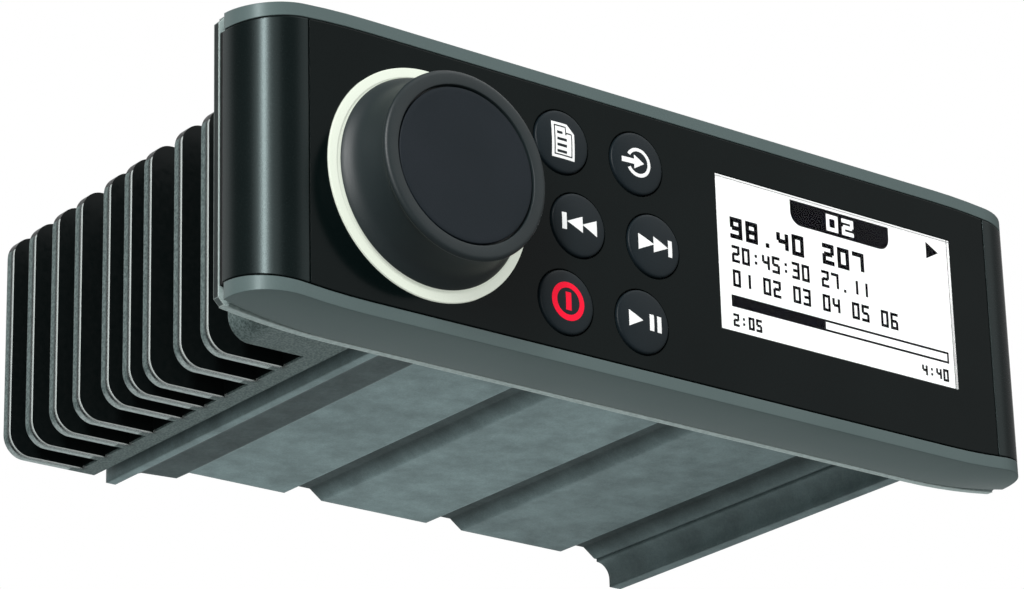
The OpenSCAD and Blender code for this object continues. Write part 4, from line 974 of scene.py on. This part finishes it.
def add_figure(sign, x, y, w, h, t):
    if sign in ".:":
        add_bar(x, y - h / 2 + t / 2 if sign == "." else y - h / 5, t, t)
        if sign == ":":
            add_bar(x, y + h / 5, t, t)
        return
    aside, up = (w - t) / 2, (h - t) / 2
    spots = {"a": (0, up, w, t), "g": (0, 0, w - t, t), "d": (0, -up, w, t),
             "f": (-aside, up / 2, t, up - t), "b": (aside, up / 2, t, up - t),
             "e": (-aside, -up / 2, t, up - t), "c": (aside, -up / 2, t, up - t)}
    for bar in BARS.get(sign, ""):
        dx, dy, bar_w, bar_h = spots[bar]
        add_bar(x + dx, y + dy, bar_w, bar_h + (t if bar in "fbec" else 0))


def add_line(text, left, y, pitch, w, h, t):
    for place, sign in enumerate(text):
        add_figure(sign, left + (place + 0.5) * pitch, y, w, h, t)


def across(u):
    return (u - 0.5) * VIEW_W


def down(v):
    return (0.5 - v) * VIEW_H


print("numerals:", "".join(BARS))

# %% Draw the figures
INK_Y = PANE_REAR + 0.035 * MM
FIGURE_T, TAB_STEP, TAB_CORNER = 0.01 * MM, 0.02 * MM, 2.6 * MM
SHIFT_X, SHIFT_Z = 0.3, 0.15

figures = start_flat("display_figures")
add_line("98.40 207", across(0.05), down(0.322), 3.95, 3.1, 4.4, 0.95)
add_line("20:45:30 27.11", across(0.055), down(0.492), 2.55, 2.0, 3.5, 0.62)
add_line("01 02 03 04 05 06", across(0.055), down(0.65), 2.55, 2.0, 3.5, 0.62)
add_line("2:05", across(0.05), down(0.922), 1.9, 1.5, 2.6, 0.52)
add_line("4:40", across(0.846), down(0.922), 1.9, 1.5, 2.6, 0.52)
add_arrowhead(across(0.955), down(0.1), 3.3, 3.6)
BAR_L, BAR_FILL, BAR_R = across(0.05), across(0.44), across(0.972)
BAR_V, BAR_H, BAR_T = down(0.8), 2.4, 0.45
add_bar((BAR_L + BAR_FILL) / 2, BAR_V, BAR_FILL - BAR_L, BAR_H)
for edge in (1, -1):
    add_bar((BAR_FILL + BAR_R) / 2, BAR_V + edge * (BAR_H - BAR_T) / 2, BAR_R - BAR_FILL, BAR_T)
add_bar(BAR_R - BAR_T / 2, BAR_V, BAR_T, BAR_H)
end_flat()

tab = start_flat("display_tab")
TAB_TOP, TAB_LOW = down(0.024), down(0.185)
add_bar(across(0.525), (TAB_TOP + TAB_LOW) / 2, across(0.737) - across(0.315), TAB_TOP - TAB_LOW)
select_where(lambda v: v.co.y < (TAB_TOP + TAB_LOW) / 2 * MM, "verts")
bpy.ops.mesh.bevel(offset=TAB_CORNER, segments=6, affect="VERTICES")
end_flat()

tab_figures = start_flat("display_tab_figures")
add_line("02", across(0.525) - 4.1, down(0.105), 4.1, 3.1, 3.5, 0.85)
end_flat()

for piece, y, finish in ((figures, INK_Y, display_ink), (tab, INK_Y, display_ink),
                         (tab_figures, INK_Y - TAB_STEP, display_white)):
    stand_on_face(piece, VIEW_X + SHIFT_X * MM, VIEW_Z + SHIFT_Z * MM, y)
    apply_modifier(piece, "SOLIDIFY", thickness=FIGURE_T, offset=-1)
    dress(piece, finish)
    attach(piece, "chassis")
    print(piece.name, len(piece.data.polygons), "faces")

# %% [markdown]
# ## Contacts in the rear sockets
# The CAD sockets are empty shells. Real ones hold contacts: blades for power and speakers, a tube for the
# antenna, five pins for the network, and a tongue with four strips for USB. Each contact is modelled once,
# and the Array modifier or a copy repeats it. All stand on the floor of their socket and look to the rear.

# %% Blades, strips and the tongue
HARNESS_FLOOR, ANTENNA_FLOOR, NETWORK_FLOOR, USB_FLOOR = 89.7, 90.7, 90.7, 87.7
SEAT = 0.05
BLADE, BLADE_STEP, BLADE_COUNT, BLADE_ROWS = (0.9, 2.2, 7.2), 2.6, 8, 3.9
TONGUE, STRIP_SIZE, STRIP_STEP, STRIP_COUNT = (11.2, 1.9, 9.0), (1.1, 0.16, 7.4), 2.5, 4


def prong(name, size, x, y, tip):
    clear_selection()
    bpy.ops.mesh.primitive_cube_add(size=1)
    piece = bpy.context.object
    piece.name = name
    piece.scale = Vector(size) * MM
    piece.location = Vector((x, y, size[2] / 2 - SEAT)) * MM
    bpy.ops.object.transform_apply(location=True, rotation=True, scale=True)
    bpy.ops.object.mode_set(mode="EDIT")
    select_where(lambda f: f.normal.z > 0.9)
    bpy.ops.mesh.bevel(offset=tip * MM, segments=2, affect="EDGES")
    bpy.ops.object.mode_set(mode="OBJECT")
    return piece


def repeat(piece, count, step):
    apply_modifier(piece, "ARRAY", count=count, use_relative_offset=False, use_constant_offset=True,
                   constant_offset_displace=Vector(step) * MM)


def seat_contact(piece, node, floor, finish):
    middle = (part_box(node)[0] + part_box(node)[1]) / 2
    stand_on_face(piece, middle.x, middle.z, floor * MM, forward=False)
    dress(piece, finishes[finish])
    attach(piece, "chassis")
    print(piece.name, len(piece.data.polygons), "faces")


blades = prong("harness_blades", BLADE, -BLADE_STEP * (BLADE_COUNT - 1) / 2, -BLADE_ROWS / 2, 0.25)
repeat(blades, BLADE_COUNT, (BLADE_STEP, 0, 0))
repeat(blades, 2, (0, BLADE_ROWS, 0))
seat_contact(blades, "harness_socket", HARNESS_FLOOR, "brass")
tongue = prong("usb_tongue", TONGUE, 0, 0, 0.4)
seat_contact(tongue, "usb_socket", USB_FLOOR, "white_plastic")
strips = prong("usb_strips", STRIP_SIZE, -STRIP_STEP * (STRIP_COUNT - 1) / 2, TONGUE[1] / 2, 0.05)
repeat(strips, STRIP_COUNT, (STRIP_STEP, 0, 0))
seat_contact(strips, "usb_socket", USB_FLOOR, "brass")

# %% Tube and pins
TUBE = [(1.75, -0.05), (1.75, 6.6), (1.55, 6.9), (1.15, 6.9), (0.95, 6.6), (0.95, 1.6), (0.05, 1.6)]
COLLAR = [(4.05, -0.05), (4.05, 0.9), (3.8, 1.2), (0.05, 1.2)]
INSERT = [(5.15, -0.05), (5.15, 1.5), (4.9, 1.8), (0.05, 1.8)]
PIN = [(0.55, -0.05), (0.55, 5.4), (0.46, 5.75), (0.28, 5.95), (0.05, 6.0)]
PIN_CIRCLE = 2.5

seat_contact(turned("antenna_collar", COLLAR, 72), "antenna_socket", ANTENNA_FLOOR, "white_plastic")
seat_contact(turned("antenna_tube", TUBE, 48), "antenna_socket", ANTENNA_FLOOR, "brass")
seat_contact(turned("network_insert", INSERT, 72), "network_socket", NETWORK_FLOOR, "chip_black")
first_pin = turned("network_pin", PIN, 24)
for number in range(5):
    pin = copy_piece(first_pin, f"network_pin_{number}")
    if number:
        turn = math.radians(45 + 90 * number)
        pin.location = Vector((math.cos(turn), math.sin(turn), 0)) * PIN_CIRCLE * MM
        take(pin)
        bpy.ops.object.transform_apply(location=True)
    seat_contact(pin, "network_socket", NETWORK_FLOOR, "brass")
bpy.data.objects.remove(first_pin)

# %% [markdown]
# ## The size, measured again
# The scene must not change the object's size, so its box is measured again here, as the bare CAD model's box
# was at the start.

# %% Measure the box again
low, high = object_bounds()
